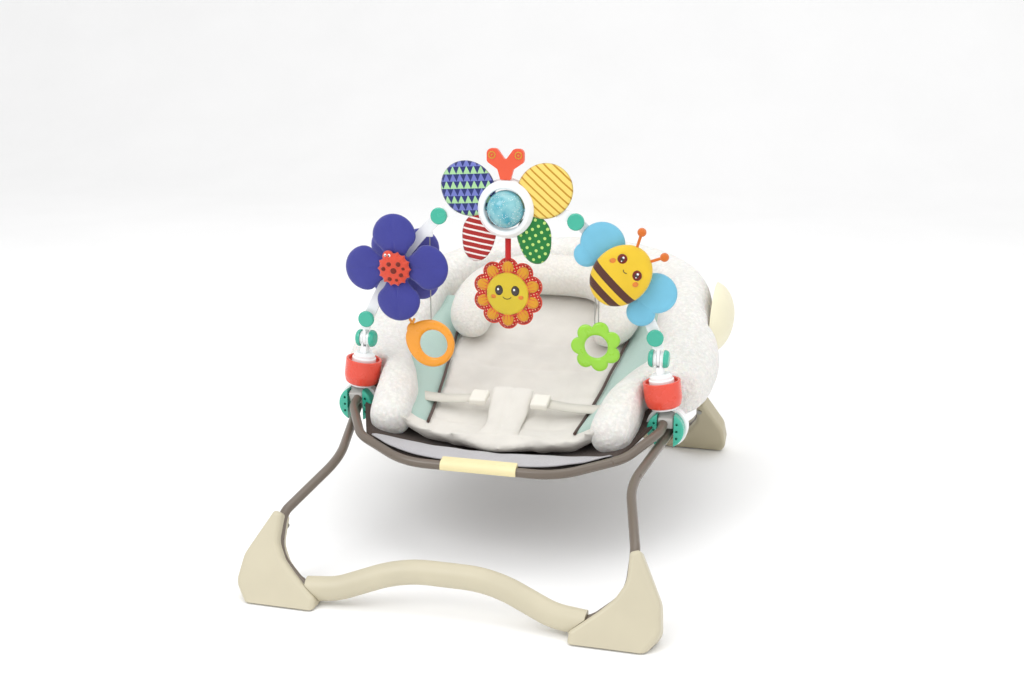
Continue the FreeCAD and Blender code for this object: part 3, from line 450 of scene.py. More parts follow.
# ------------------------------------------------------------------ materials
TAUPE = moulded("tube_paint", "6B6055", 0.32, 0.25, 0.00002)
FOOT = moulded("foot_plastic", "C5BDA5", 0.42)
# painted shade: the front feet's plastic made darker for the rear feet and rear crossbar cover
REAR = moulded("rear_foot_plastic", "B5AC92", 0.45)
RUBBER = moulded("pad_rubber", "4A4743", 0.8)
CREAM = moulded("grip_plastic", "EADDAD", 0.4)
COVER = moulded("cover_plastic", "E8E2C6", 0.45)
WHITE = moulded("white_plastic", "F0F1F2", 0.22, 0.3)
GREY = moulded("joint_plastic", "B9B8B4", 0.4)
TEAL = moulded("teal_plastic", "35AE94", 0.25, 0.3)
RED = moulded("knob_plastic", "DF4731", 0.28, 0.3)
BUCKLE = moulded("buckle_plastic", "E3DFD5", 0.4)
ORANGE = moulded("snail_plastic", "EE9A1E", 0.3, 0.3)
GREEN = moulded("teether_plastic", "93D034", 0.3, 0.3)
SCREW = moulded("screw_steel", "A5A5A3", 0.35)
SCREW.node_tree.nodes["Principled BSDF"].inputs["Metallic"].default_value = 1.0
BRICK = moulded("antenna_plastic", "E2532F", 0.35, 0.2)
DARK = moulded("eye_print", "2B1E1C", 0.3, 0.4)
PLUSH = plush("plush_pile", "F3F1EC", 300, 0.0016)
PILLOW = plush("pillow_pile", "EDEAE2", 400, 0.0012, hollow_shade=0.92)
IVORY = woven("ivory_cloth", "EBE7DF", 0.0009, 0.82, 0.35)
MINT = woven("mint_cloth", "B9D5CB", 0.0008, 0.55, 0.4, mottle=0.05)
PIPING = woven("piping_cloth", "5A463F", 0.0007, 0.7, 0.2)
LINING = woven("lining_cloth", "4A3D36", 0.0010, 0.85, 0.15)
SATIN = woven("satin_cloth", "C3C1C5", 0.0007, 0.42, 0.4, mottle=0.06)
WEBBING = woven("belt_webbing", "D9D5CA", 0.0016, 0.75, 0.2)
BLUE = woven("blue_cloth", "3F4299", 0.0008, 0.6, 0.35)
VIOLET = woven("violet_cloth", "5A5BB0", 0.0008, 0.6, 0.35)
BUG = woven("bug_cloth", "E2513B", 0.0008, 0.6, 0.3)
SPOT = woven("spot_cloth", "7A2A1E", 0.0008, 0.7, 0.2)
SKY = woven("sky_cloth", "7CC8E6", 0.0008, 0.6, 0.35)
TANGERINE = woven("tangerine_cloth", "E0752A", 0.0008, 0.6, 0.3)
YELLOW = woven("face_cloth", "E2C838", 0.0007, 0.6, 0.3)
PETAL = woven("petal_cloth", "E3A02C", 0.0008, 0.6, 0.3)
BLUSH = woven("blush_cloth", "E88A3C", 0.0008, 0.7, 0.2)
CORD = woven("cord_cloth", "A9A8A3", 0.0006, 0.7, 0.2)


def patterned(name):
    """Printed cloth before its colours: sheen, weave and soft creases."""
    look = Look(name, 0.6, Sheen_Weight=0.3, Sheen_Roughness=0.45, Specular_IOR_Level=0.3)
    creases = look.math("MULTIPLY", look.noise(40, 4), 8.0)
    look.bump(look.math("ADD", look.weave(0.0008), creases), 0.00010)
    return look


def stripes(name, centre, angle, pitch, share, code, line):
    """Slightly wavering lines that take up a share of each pitch."""
    look = patterned(name)
    u, _ = look.turned(centre, angle)
    waver = look.math("MULTIPLY", look.noise(60), 0.001)
    wave = look.math("FRACT", look.math("DIVIDE", look.math("ADD", u, waver), pitch))
    look.paint(look.mix(look.math("LESS_THAN", wave, share), rgb(code), rgb(line)))
    return look.material


def dots(name, centre, angle, pitch, radius, code, dot):
    """Round dots on a square grid."""
    look = patterned(name)
    u, v = look.turned(centre, angle)
    squares = []
    for value in (u, v):
        cell = look.math("SUBTRACT", look.math("FRACT", look.math("DIVIDE", value, pitch)), 0.5)
        squares.append(look.math("MULTIPLY", cell, cell))
    inside = look.math("LESS_THAN", look.math("ADD", *squares), (radius / pitch) ** 2)
    look.paint(look.mix(inside, rgb(code), rgb(dot)))
    return look.material


def triangles(name, centre, angle, pitch, code, first, second):
    """Rows of triangles in two colours, row by row."""
    look = patterned(name)
    u, v = look.turned(centre, angle)
    across, up = look.math("DIVIDE", u, pitch), look.math("DIVIDE", v, pitch)
    row = look.math("FLOOR", up)
    slide = look.math("ABSOLUTE", look.math("SUBTRACT", look.math("FRACT", across), 0.5))
    inside = look.math("LESS_THAN", look.math("MULTIPLY", slide, 2.2), look.math("FRACT", up))
    odd = look.math("MODULO", look.math("ABSOLUTE", row), 2.0)
    pick = look.mix(look.math("GREATER_THAN", odd, 0.5), rgb(first), rgb(second))
    look.paint(look.mix(inside, pick, rgb(code)))
    return look.material


def bands(name, centre, angle, edges, code, band):
    """Bands across a body between pairs of positions along its axis."""
    look = patterned(name)
    u, _ = look.turned(centre, angle)
    total = 0.0
    for low, high in edges:
        inside = look.math("MULTIPLY", look.math("GREATER_THAN", u, low), look.math("LESS_THAN", u, high))
        total = look.math("ADD", total, inside)
    base = rgb(code)
    cloud = look.mix(look.ramp(look.noise(25, 3), 0.3, 0.7), shade(base, 0.94), shade(base, 1.04))
    look.paint(look.mix(total, cloud, rgb(band)))
    return look.material


def glitter_ball():
    """Tinted clear ball with flakes inside."""
    look = Look("ball_plastic", 0.06, Coat_Weight=0.6, Coat_Roughness=0.03, Transmission_Weight=0.35,
                IOR=1.45)
    flakes = look.cells(330)
    swirl = look.ramp(look.noise(55, 4), 0.35, 0.7)
    body = look.mix(swirl, rgb("4DB9CE"), rgb("B4ECEF"))
    look.paint(look.mix(look.math("LESS_THAN", flakes, 0.22), body, rgb("E4FAFB")))
    look.bump(look.cells(150, "SMOOTH_F1"), 0.0006)
    return look.material


# ------------------------------------------------------------------ finishes on the CAD parts that stay
KEPT = {
    TAUPE: ("front_leg_tube", "rear_leg_tube", "seat_front_tube", "seat_back_tube"),
    FOOT: ("front_foot_left", "front_foot_right", "front_crossbar_cover"),
    # the rear parts take the darker copy of the foot plastic, which is painted shade
    REAR: ("rear_foot_left", "rear_foot_right", "rear_crossbar_cover"),
    RUBBER: ("front_foot_pads", "rear_foot_pads"),
    SCREW: ("front_foot_screws", "rear_foot_screws", "pivot_screws"),
    GREY: ("side_joint_left", "side_joint_right", "rear_brackets"),
    CREAM: ("front_clip",),
    COVER: ("joint_cover_left", "joint_cover_right"),
    WHITE: ("clamp_housings", "clamp_collars", "lower_links", "side_strap_left", "side_strap_right",
            "crown_bar", "medallion_ring", "flower_axle"),
    BUCKLE: ("waist_buckles",),
    TEAL: ("fixed_jaws", "sliding_jaw_left", "sliding_jaw_right", "hinge_pins", "lower_buttons",
           "upper_buttons"),
    RED: ("clamp_knob_left", "clamp_knob_right"),
    BRICK: ("butterfly_antennae",),
    TANGERINE: ("bee_antennae",),
    glitter_ball(): ("rattle_ball",),
}
for material, labels in KEPT.items():
    for label in labels:
        nodes[label].data.materials.clear()
        nodes[label].data.materials.append(material)

# ------------------------------------------------------------------ seat padding
TILT = math.radians(16.4)
SEAT_ORIGIN = Vector((0, -0.0665, 0.180))


def seat(x, along, rise):
    """Point from the seat's own frame: across, along the sling and above the ring, in millimetres."""
    cosine, sine = math.cos(TILT), math.sin(TILT)
    return SEAT_ORIGIN + Vector((x, along * cosine - rise * sine, along * sine + rise * cosine)) * MM


# Middle of the sling's lower face, as (along, rise)
SLING = ((-127, -1), (-96, -22), (-40, -46), (40, -52), (150, -46), (300, -34), (400, -22), (448, -4))


def sling_rise(along):
    """Height of the sling's lower face above the ring plane."""
    if along <= SLING[0][0]:
        return SLING[0][1]
    for (s0, n0), (s1, n1) in zip(SLING, SLING[1:]):
        if along <= s1:
            return n0 + (n1 - n0) * soft_step((along - s0) / (s1 - s0))
    return SLING[-1][1]


def roll_section(middle, direction, wide, tall, count, wobble, seed, limit):
    """Rounded section square to a padded roll's run, from half its width and half its height."""
    across = Vector((direction.y, -direction.x, 0)).normalized()
    ring = []
    for k in range(count):
        wide_share, tall_share = squarish(FULL_TURN * k / count, 0.86)
        u, v = wide_share * wide, tall_share * tall
        even = Vector((middle.x + across.x * u, middle.y + across.y * u, middle.z + v))
        bulge = 1 + wobble * noise.noise(even * 0.02 + Vector((seed, 0, 0)))
        x, s = middle.x + across.x * u * bulge, middle.y + across.y * u * bulge
        if limit:
            x = math.copysign(min(abs(x), limit(s)), x)
        ring.append(seat(x, s, middle.z + v * bulge))
    return ring


def roll(path, sizes, steps, count, wobble, seed, round_ends, limit=None):
    """Stuffed roll along a run of (x, along, rise), with (half width, half height) at each point.

    Each end closes over round_ends of its stretch. limit(along) is the widest the roll may reach.
    """
    line = smooth_path(path, steps)
    line_sizes = smooth_path([(wide, tall, 0) for wide, tall in sizes], steps)
    rings = []
    last = len(line) - 1
    for i, p in enumerate(line):
        direction = line[min(i + 1, last)] - line[max(i - 1, 0)]
        edge = min(i, last - i) / steps
        shrink = math.sqrt(max(0.05, 1 - (1 - min(1.0, edge / round_ends)) ** 2.4))
        wide, tall = line_sizes[i].x * shrink, line_sizes[i].y * shrink
        rings.append(roll_section(p, direction, wide, tall, count, wobble, seed, limit))
    return rings


def mirrored(points):
    """A left-hand run of points, then the same points on the right in the opposite order."""
    return list(points) + [(-x, *rest) for x, *rest in reversed(points)]


def there_and_back(values):
    return list(values) + list(reversed(values))


# The plush roll's run from the front left, as (x, along, rise), and its half width and half height
BOLSTER = mirrored(((-158, -66, 2), (-163, -32, 4), (-174, 12, 6), (-196, 52, 4), (-221, 92, 1),
                    (-229, 134, -3), (-229, 172, -4), (-224, 212, 0), (-216, 262, 7), (-213, 306, 9),
                    (-198, 362, 8), (-164, 410, 8), (-108, 438, 9), (-40, 446, 11)))
BOLSTER_SIZE = ((27, 27), (31, 32), (36, 37), (43, 40), (48, 42), (51, 43), (51, 43), (48, 43), (42, 42),
                (41, 40), (38, 36), (36, 35), (35, 36), (35, 37))


def beside_clamp(s):
    """Widest the roll may be where the arch clamps and the joint covers press into it."""
    at_clamps, past_clamps, past_covers = 189, 93, 26
    return at_clamps + past_clamps * soft_step((s - 44) / 42) - past_covers * soft_step((s - 204) / 26)


bolster = Shape()
bolster.loft(roll(BOLSTER, there_and_back(BOLSTER_SIZE), 7, 28, 0.05, 1.0, 0.6, beside_clamp))
bolster_piece = bolster.piece("plush_bolster_cover", PLUSH, "seat", ("plush_bolster",))
inflate(bolster_piece, 0.0055, 4.0, 0.003)

# The pillow's horseshoe run, in the same terms
PILLOW_RUN = mirrored(((-102, 180, 12), (-119, 238, 20), (-106, 304, 28), (-54, 342, 32)))
PILLOW_SIZE = ((28, 22), (35, 27), (38, 29), (38, 29))
pillow = Shape()
pillow.loft(roll(PILLOW_RUN, there_and_back(PILLOW_SIZE), 8, 24, 0.04, 4.0, 0.8))
pillow_piece = pillow.piece("head_pillow_cover", PILLOW, "seat", ("head_pillow",))
inflate(pillow_piece, 0.005, 4.0, 0.003)


def rounded(steps_in, least):
    """Share of its full thickness that a mat has a few steps in from its edge."""
    return math.sqrt(max(least, 1 - (1 - min(1.0, steps_in / 3)) ** 2))


def mat_rings(low_s, high_s, rows, left, right, columns, top, thick, tuck=None):
    """Closed rings across a mat from low_s to high_s, between left(s) and right(s).

    Its upper face is top(x, s, share of the width), and its near end is moved along the seat by tuck(x).
    """
    rings = []
    for row in range(rows + 1):
        even = low_s + (high_s - low_s) * row / rows
        x0, x1 = left(even), right(even)
        fade = rounded(min(row, rows - row), 0.04)
        upper = []
        lower = []
        for column in range(columns + 1):
            u = column / columns
            edge = rounded(min(column, columns - column), 0.03) * fade
            x = x0 + (x1 - x0) * u
            s = even + (tuck(x) if tuck else 0.0) * (1 - row / rows)
            face = top(x, s, u)
            upper.append(seat(x, s, face - thick / 2 + thick / 2 * edge))
            lower.append(seat(x, s, face - thick / 2 - thick / 2 * edge))
        rings.append(upper + lower[::-1])
    return rings


def insert_top(x, s, _):
    """Upper face of the insert: dished across, with sewn channels, raised front corners and soft folds."""
    lift = sling_rise(s) + 26 + 9 * (abs(x) / 128) ** 2.4
    lift += 7 * bell(s, -64, 26)
    for channel in (-20, 62, 138, 206):
        curve = channel + 10 * (x / 128) ** 2
        lift -= 4.2 * bell(s, curve, 5.5)
    for channel in (-64, 64):
        lift -= 3.0 * bell(x, channel, 5) * (1 if s < 206 else 0.2)
    lift += 0.55 * max(0.0, abs(x) - 108) * soft_step((14 - s) / 44)
    fold = noise.noise(Vector((x * 0.016, s * 0.012, 3.0)))
    return lift + 3.5 * fold


def insert_half(s):
    """Half width of the insert, which spreads at its near end and behind the pillow."""
    seat_part = 128 + 30 * soft_step((6 - s) / 56) + 13 * soft_step((s - 80) / 100)
    return seat_part + 36 * soft_step((s - 262) / 40) - 66 * soft_step((s - 350) / 62)


insert = Shape()
insert.loft(mat_rings(-58, 410, 94, lambda s: -insert_half(s), insert_half, 56, insert_top, 19,
                      tuck=lambda x: -34 * bell(x, 8, 60)))
insert_piece = insert.piece("seat_insert_cover", IVORY, "seat", ("seat_insert",))
inflate(insert_piece, 0.0055, 4.0, 0.004)


def between(points, s):
    """Value at s on the broken line through (s, value) points."""
    for (s0, v0), (s1, v1) in zip(points, points[1:]):
        if s <= s1:
            return v0 + (v1 - v0) * max(0.0, (s - s0) / (s1 - s0))
    return points[-1][1]


# Distance of the roll's middle line from the seat's middle, as (along, distance)
BOLSTER_LINE = [(s, -x) for x, s, _ in BOLSTER[:len(BOLSTER_SIZE)]]


def mint_panel(name, sign):
    """Sloping side panel between the insert and the roll, with its brown piping."""

    def top(x, s, u):
        t = u if sign > 0 else 1 - u
        low = sling_rise(s) + 34
        wave = 2.5 * noise.noise(Vector((x, s, sign)) * 0.02)
        return low + (9 - low) * t ** 1.3 + 9 * math.sin(math.pi * t) + wave

    def inner(s):
        return sign * (107 + 0.12 * min(210, s + 5))

    def outer(s):
        return sign * (between(BOLSTER_LINE, s) - 24)

    left, right = (inner, outer) if sign > 0 else (outer, inner)
    panel = Shape()
    panel.loft(mat_rings(-38, 300, 64, left, right, 14, top, 13))
    panel_piece = panel.piece(f"mint_panel_{name}", MINT, "seat", subdivide=1)
    piping_line = []
    for s in range(-36, 285, 8):
        x = inner(s) + sign * 3
        piping_line.append(seat(x, s, top(x, s, 0.05 if sign > 0 else 0.95) + 3))
    piping = Shape()
    piping.tube(piping_line, 0.0022)
    piping.piece(f"panel_piping_{name}", PIPING, "seat")


mint_panel("left", -1)
mint_panel("right", 1)

# Brown sling, stretched inside the ring under the padding
HOOP = ((-143, 106), (-92, 184), (-10, 216), (120, 232), (240, 233), (380, 205), (448, 108))


def cloth(name, rows, columns, place, material, thick, replaces):
    """Open sheet from place(u, v), thickened evenly about its middle, and its area."""
    points = [place(c / columns, r / rows) for r in range(rows + 1) for c in range(columns + 1)]
    faces = []
    for r in range(rows):
        for c in range(columns):
            a = r * (columns + 1) + c
            faces.append((a, a + 1, a + columns + 2, a + columns + 1))
    sheet_shape = Shape()
    sheet_shape.add(points, faces)
    item = sheet_shape.piece(name, material, "seat", (replaces,))
    skin = item.modifiers.new("Skin", "SOLIDIFY")
    skin.thickness = thick
    skin.offset = 0
    area = sum(face.area for face in item.data.polygons)
    return item, area


def sling_place(u, v):
    """Sling from side to side and front to back, hung in the middle and level with the ring at its sides."""
    s = -138 + 584 * v
    half = between(HOOP, s) - 6
    x = -half + 2 * half * u
    hang = sling_rise(s) + 1
    side = abs(2 * u - 1) ** 2.2
    return seat(x, s, hang + (-3 - hang) * side)


sling_piece, sling_area = cloth("seat_sling_cloth", 60, 36, sling_place, LINING, 0.0022, "seat_sling")
APRON_HALF = 168


def apron_place(u, v):
    """Satin strip behind the front rim: its near edge follows the rim, and it dips towards the sling."""
    x = APRON_HALF * (2 * u - 1)
    near = -138 + 43 * (abs(x) / APRON_HALF) ** 3
    far = -96 + 14 * (abs(x - 5) / 150) ** 2
    s = near + (far - near) * v
    drop = 6 - 13 * v ** 1.2
    return seat(x, s, drop + 2.0 * noise.noise(Vector((x * 0.03, s * 0.05, 9))))


apron_piece, apron_area = cloth("seat_apron_cloth", 14, 60, apron_place, SATIN, 0.0018, "seat_apron")



# Crotch pad with its belts
def crotch_top(x, s, _):
    """Upper face of the crotch pad: it sags, rises towards the belts and has one seam down its middle."""
    run = (s + 62) / 106
    lift = -12 - 8 * math.sin(math.pi * min(1.0, run * 1.2)) + 28 * max(0.0, run - 0.45) ** 1.4
    return lift + 11 - 2 * bell(x, 0, 3)


def crotch_half(s):
    return 30 - 4 * bell(s, -20, 24)


crotch = Shape()
crotch.loft(mat_rings(-62, 46, 26, lambda s: -crotch_half(s), crotch_half, 16, crotch_top, 10))
crotch_piece = crotch.piece("crotch_pad_cover", IVORY, "seat", ("crotch_pad",), subdivide=1)
BELT_FOOT, BELT_WIDTH, BELT_DROOP = 9.5, 21, 4
BELT_SECTION = ((0, -0.6), (0.5, -1), (1, -0.6), (1, 0.6), (0.5, 1), (0, 0.6))
belts = Shape()
for sign in (-1, 1):
    rings = []
    for step in range(19):
        x = 57 + step * 5
        middle = 1.2 - BELT_DROOP * math.sin(math.pi * step / 18)
        rings.append([seat(sign * x, BELT_FOOT + BELT_WIDTH * a, middle + b) for a, b in BELT_SECTION])
    belts.loft(rings)
belts.piece("waist_belt_webbing", WEBBING, "seat", ("waist_belts",))

# ------------------------------------------------------------------ flower with its bug
FLOWER = Vector((-0.157, -0.0555, 0.378))


def fan(scale):
    """Broad round petal, narrower towards the flower's hub."""
    return lambda t: scale * (0.0335 - 0.0060 * bell(abs(math.atan2(math.sin(t), math.cos(t))), 2.25, 0.42))


def petal_crease(t, rho):
    """Fold along a petal, deepest towards the hub."""
    return 1 - 0.45 * bell(math.sin(t), 0, 0.16) * rho * (1 if math.cos(t) < 0.6 else 0.4)


def petal_set(name, replaced, reach, turn, y, material, thick, scale=1.0):
    """Four petals and their hub, y metres behind the flower's middle."""
    petals = Shape()
    away = reach - 0.031 * scale
    for index in range(4):
        angle = math.radians(turn + 90 * index)
        middle = FLOWER + Vector((away * math.cos(angle), y, away * math.sin(angle)))
        petals.puff(middle, fan(scale), thick, turn=angle, rings=10, crease=petal_crease)
    petals.puff(FLOWER + Vector((0, y, 0)), disc(0.024 * scale), thick * 0.9)
    return petals.piece(name, material, "flower", (replaced,), subdivide=1)


petal_set("flower_front_petals_cloth", "flower_front_petals", 0.075, 3, -0.0205, BLUE, 0.012)
petal_set("flower_rear_petals_cloth", "flower_rear_petals", 0.060, 44, 0.0155, VIOLET, 0.010, 0.86)


def prickly(t):
    """Outline of the bug, with fourteen points."""
    return 0.0226 + 0.0032 * (1 - abs(math.sin(7 * t))) ** 1.3


bug = Shape()
bug_middle = FLOWER + Vector((0, -0.029, 0))
bug.puff(bug_middle, prickly, 0.011, rings=12, spokes=196)
bug.puff(bug_middle + Vector((-0.0085, -0.0004, 0.0175)), disc(0.0088), 0.0096, rings=8, spokes=40)
bug_piece = bug.piece("flower_bug_cloth", BUG, "flower", ("flower_ladybug",), subdivide=1)
spots = Shape()
for dx, dz, radius in ((0.5, -2, 4.6), (-6.3, 7, 3.5), (7.5, 7.5, 3.7), (-14.5, 0, 3.4), (11.5, -7.5, 3.3),
                       (-5.5, -14, 3.3), (14.5, 1.5, 2.4), (4.5, -15, 2.4)):
    rho = math.hypot(dx, dz) / 24
    bulge = 0.0055 * math.sqrt(1 - rho ** 3) + 0.0001
    spot = bug_middle + Vector((dx * MM, -bulge, dz * MM))
    spots.puff(spot, ellipse(radius * MM, radius * MM * 0.9), 0.0026, rings=4, spokes=24)
spots.piece("flower_bug_spots", SPOT, "flower")
bug_eyes = Shape()
for dx in (-11.3, -5.6):
    bug_eyes.puff(bug_middle + Vector((dx * MM, -0.0048, 0.0195)), ellipse(0.0021, 0.0025), 0.0016, rings=3,
                  spokes=20)
bug_eyes.piece("flower_bug_eyes", WHITE, "flower")
bug_pupils = Shape()
for dx in (-11.0, -5.9):
    bug_pupils.puff(bug_middle + Vector((dx * MM, -0.0056, 0.0191)), ellipse(0.0010, 0.0013), 0.0008, rings=3,
                    spokes=14)
bug_pupils.piece("flower_bug_pupils", DARK, "flower")

# ------------------------------------------------------------------ bee
BEE = Vector((0.162, -0.0765, 0.384))
BEE_AXIS = math.radians(45)
BEE_LONG, BEE_SHORT, BEE_THICK, BEE_FLAT = 48, 39, 0.024, 2.6
bee_cloth = bands("bee_cloth", BEE, BEE_AXIS, ((-0.039, -0.028), (-0.019, -0.008)), "EBC42E", "573026")
bee = Shape()
bee.puff(BEE, ellipse(BEE_LONG * MM, BEE_SHORT * MM), BEE_THICK, turn=BEE_AXIS, rings=14, spokes=96,
         flat=BEE_FLAT)
bee.piece("bee_body_cloth", bee_cloth, "arch", ("bee_body",), subdivide=1)


def on_bee(along, across, lift=0.0):
    """Point on the bee's front, along and across its own axis in millimetres."""
    rho = min(0.98, math.hypot(along / BEE_LONG, across / BEE_SHORT))
    bulge = BEE_THICK / 2 * math.sqrt(1 - rho ** BEE_FLAT)
    cosine, sine = math.cos(BEE_AXIS), math.sin(BEE_AXIS)
    x, z = (along * cosine - across * sine) * MM, (along * sine + across * cosine) * MM
    return BEE + Vector((x, -bulge - lift, z))


bee_iris = Shape()
bee_face = Shape()
bee_glint = Shape()
for along, across in ((20, 15), (19, -14)):
    bee_iris.puff(on_bee(along, across), ellipse(0.0068, 0.0072), 0.0028, rings=5, spokes=32)
    bee_face.puff(on_bee(along, across, 0.0010), ellipse(0.0034, 0.0037), 0.0020, rings=4, spokes=24)
    bee_glint.puff(on_bee(along + 2.6, across + 0.4, 0.0019), disc(0.0017), 0.0008, rings=3, spokes=16)
    bee_glint.puff(on_bee(along - 2.2, across - 1.2, 0.0018), disc(0.0009), 0.0008, rings=3, spokes=12)
smile = []
for degrees in range(-70, 71, 14):
    angle = math.radians(degrees)
    smile.append(on_bee(12.5 - 2.6 * math.cos(angle), 0.5 + 3.4 * math.sin(angle), 0.0002))
bee_face.tube(smile, 0.0006, 6)
bee_iris.piece("bee_iris", SPOT, "arch")
bee_face.piece("bee_face", DARK, "arch")
bee_glint.piece("bee_glint", WHITE, "arch")
blush = Shape()
for along, across in ((9, 22), (9, -21)):
    blush.puff(on_bee(along, across), ellipse(0.0046, 0.0038), 0.0016, rings=3, spokes=20)
blush.piece("bee_blush", BLUSH, "arch")
wings = Shape()
for dx, dz, radius in ((-28, 40, 31), (-50, 24, 18), (46, -24, 29), (26, -52, 20)):
    middle = Vector((BEE.x + dx * MM, -0.0635 + (0.0012 if radius < 25 else 0), BEE.z + dz * MM))
    wings.puff(middle, ellipse(radius * MM, radius * MM * 0.96), 0.0058, rings=16, spokes=72,
               crease=lambda t, rho: 1 - 0.5 * bell(rho, 0.86, 0.035))
wings.piece("bee_wings_cloth", SKY, "arch", ("bee_wings",))

# ------------------------------------------------------------------ sunflower on its ribbon
SUN = Vector((0, -0.056, 0.346))
SUN_PETALS = 10
SUN_ANGLES = [FULL_TURN * (index + 0.5) / SUN_PETALS for index in range(SUN_PETALS)]
sun_outline = scallops(0.050, SUN_PETALS, 0.0142)
sun_back = Shape()
sun_back.puff(SUN + Vector((0, 0.0008, 0)), sun_outline, 0.005, rings=10, spokes=120)
sun_red = dots("sun_red_cloth", SUN, 0.3, 0.0042, 0.0009, "CB2420", "F0C8A0")
sun_back.piece("sunflower_back", sun_red, "sunflower_toy", ("sunflower",))
sun_petals = Shape()
for angle in SUN_ANGLES:
    middle = SUN + Vector((0.0362 * math.cos(angle), -0.0014, 0.0362 * math.sin(angle)))
    sun_petals.puff(middle, ellipse(0.0100, 0.0084), 0.0052, turn=angle, rings=8, spokes=40,
                    crease=lambda t, rho: 1 - 0.3 * bell(math.sin(t), 0, 0.12) * rho)
sun_petals.piece("sunflower_petals", PETAL, "sunflower_toy")
sun_face = Shape()
sun_face.puff(SUN + Vector((0, -0.0024, 0)), disc(0.031), 0.0064, rings=12, spokes=72)
sun_face.piece("sunflower_face", YELLOW, "sunflower_toy", subdivide=1)
stitching = Shape()
for angle in SUN_ANGLES:
    for spread in (-0.13, 0, 0.13):
        away = Vector((math.cos(angle + spread), 0, math.sin(angle + spread)))
        vein = [SUN + away * reach + Vector((0, -0.0036, 0)) for reach in (0.032, 0.036, 0.0405)]
        stitching.tube(vein, (0.0006, 0.0005, 0.0002), 6)
stitching.tube(edge_line(SUN + Vector((0, 0.0004, 0)), sun_outline, 160), 0.0009, 6)
stitching.tube(edge_line(SUN + Vector((0, -0.0030, 0)), disc(0.0315), 60), 0.0009, 6)
stitching.piece("sunflower_stitching", BUG, "sunflower_toy")
sun_print = Shape()
for dx in (-11.5, 11.5):
    sun_print.puff(SUN + Vector((dx * MM, -0.0054, 0.005)), ellipse(0.0060, 0.0074), 0.0018, rings=4,
                   spokes=28)
smile = []
for degrees in range(-66, 67, 12):
    angle = math.radians(degrees)
    smile.append(SUN + Vector((6.5 * MM * math.sin(angle), -0.0056, (-2 - 5 * math.cos(angle)) * MM)))
sun_print.tube(smile, 0.0006, 6)
sun_print.piece("sunflower_eyes", DARK, "sunflower_toy")
sun_glint = Shape()
for dx in (-11.5, 11.5):
    sun_glint.puff(SUN + Vector(((dx - 1.2) * MM, -0.0062, 0.0066)), ellipse(0.0016, 0.0019), 0.0008, rings=3,
                   spokes=16)
sun_glint.piece("sunflower_glint", WHITE, "sunflower_toy")
sun_blush = Shape()
for dx in (-19, 19):
    sun_blush.puff(SUN + Vector((dx * MM, -0.0049, -0.004)), ellipse(0.0044, 0.0034), 0.0012, rings=3,
                   spokes=20)
sun_blush.piece("sunflower_blush", BLUSH, "sunflower_toy")
ribbon = Shape()
low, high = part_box("sunflower_ribbon")
RIBBON_CROWN = 0.0003
ribbon_section = ((low.x, low.y), (0, low.y - RIBBON_CROWN), (high.x, low.y), (high.x, high.y),
                  (0, high.y + RIBBON_CROWN), (low.x, high.y))
ribbon_foot, ribbon_length = low.z - 0.004, high.z - low.z + 0.0032
ribbon.loft([[(x, y, ribbon_foot + ribbon_length * k / 8) for x, y in ribbon_section] for k in range(9)])
ribbon_cloth = stripes("ribbon_cloth", SUN, 0.0, 0.008, 0.04, "C8201F", "9C1412")
ribbon.piece("sunflower_ribbon_cloth", ribbon_cloth, "sunflower_toy", ("sunflower_ribbon",))

# ------------------------------------------------------------------ butterfly
# Name, middle (x, z), half length, half width, turn in degrees, taper of the tip, and cloth
WINGS = (
    ("upper_left", -54, 492, 40, 37, -35, 0.0,
     triangles("wing_navy", (-0.054, 0, 0.492), 0.06, 0.0100, "27306F", "A9D7A0", "7079C2")),
    ("upper_right", 54, 492, 40, 37, 35, 0.0,
     stripes("wing_yellow", (0.054, 0, 0.492), 0.85, 0.0086, 0.26, "F2D772", "C58F1E")),
    ("lower_left", -40, 425, 34, 27, -100, 0.12,
     stripes("wing_red", (-0.040, 0, 0.425), 1.40, 0.0082, 0.3, "A82320", "F1E6E2")),
    ("lower_right", 40, 425, 34, 27, -80, 0.12,
     dots("wing_green", (0.040, 0, 0.425), 0.5, 0.0094, 0.0021, "1F7A37", "BFE07A")),
)
for index, (name, x, z, long_half, short_half, turn, taper, material) in enumerate(WINGS):
    wing = Shape()
    middle = Vector((x * MM, -0.0654 + (0.001 if taper else 0), z * MM))
    oval = ellipse(long_half * MM, short_half * MM)
    wing.puff(middle, lambda t: oval(t) * (1 - taper * math.sin(t) ** 2 * (1 + math.cos(t))), 0.0056,
              turn=math.radians(turn), rings=14, spokes=80,
              crease=lambda t, rho: 1 - 0.5 * bell(rho, 0.9, 0.03))
    replaced = ("butterfly_wings",) if index == 0 else ()
    wing.piece(f"butterfly_wing_{name}", material, "arch", replaced)

marks = Shape()
low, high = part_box("butterfly_antennae")
for side in (-1, 1):
    middle = Vector((side * 0.0185, low.y - 0.0002, 0.5392))
    marks.tube(edge_line(middle, disc(0.0044), 32), 0.0009, 6)
    marks.puff(middle, disc(0.0014), 0.0016, rings=3, spokes=16)
marks.piece("butterfly_antenna_marks", PETAL, "arch")

# ------------------------------------------------------------------ hanging rings and their cords
HANG_Y = -0.0555
SNAIL = Vector((-0.114, HANG_Y, 0.266))


def shell(t):
    """Rounded shell outline, fuller on the left where the neck starts."""
    return 0.0348 + 0.0055 * bell(math.atan2(math.sin(t - 2.75), math.cos(t - 2.75)), 0, 0.62)


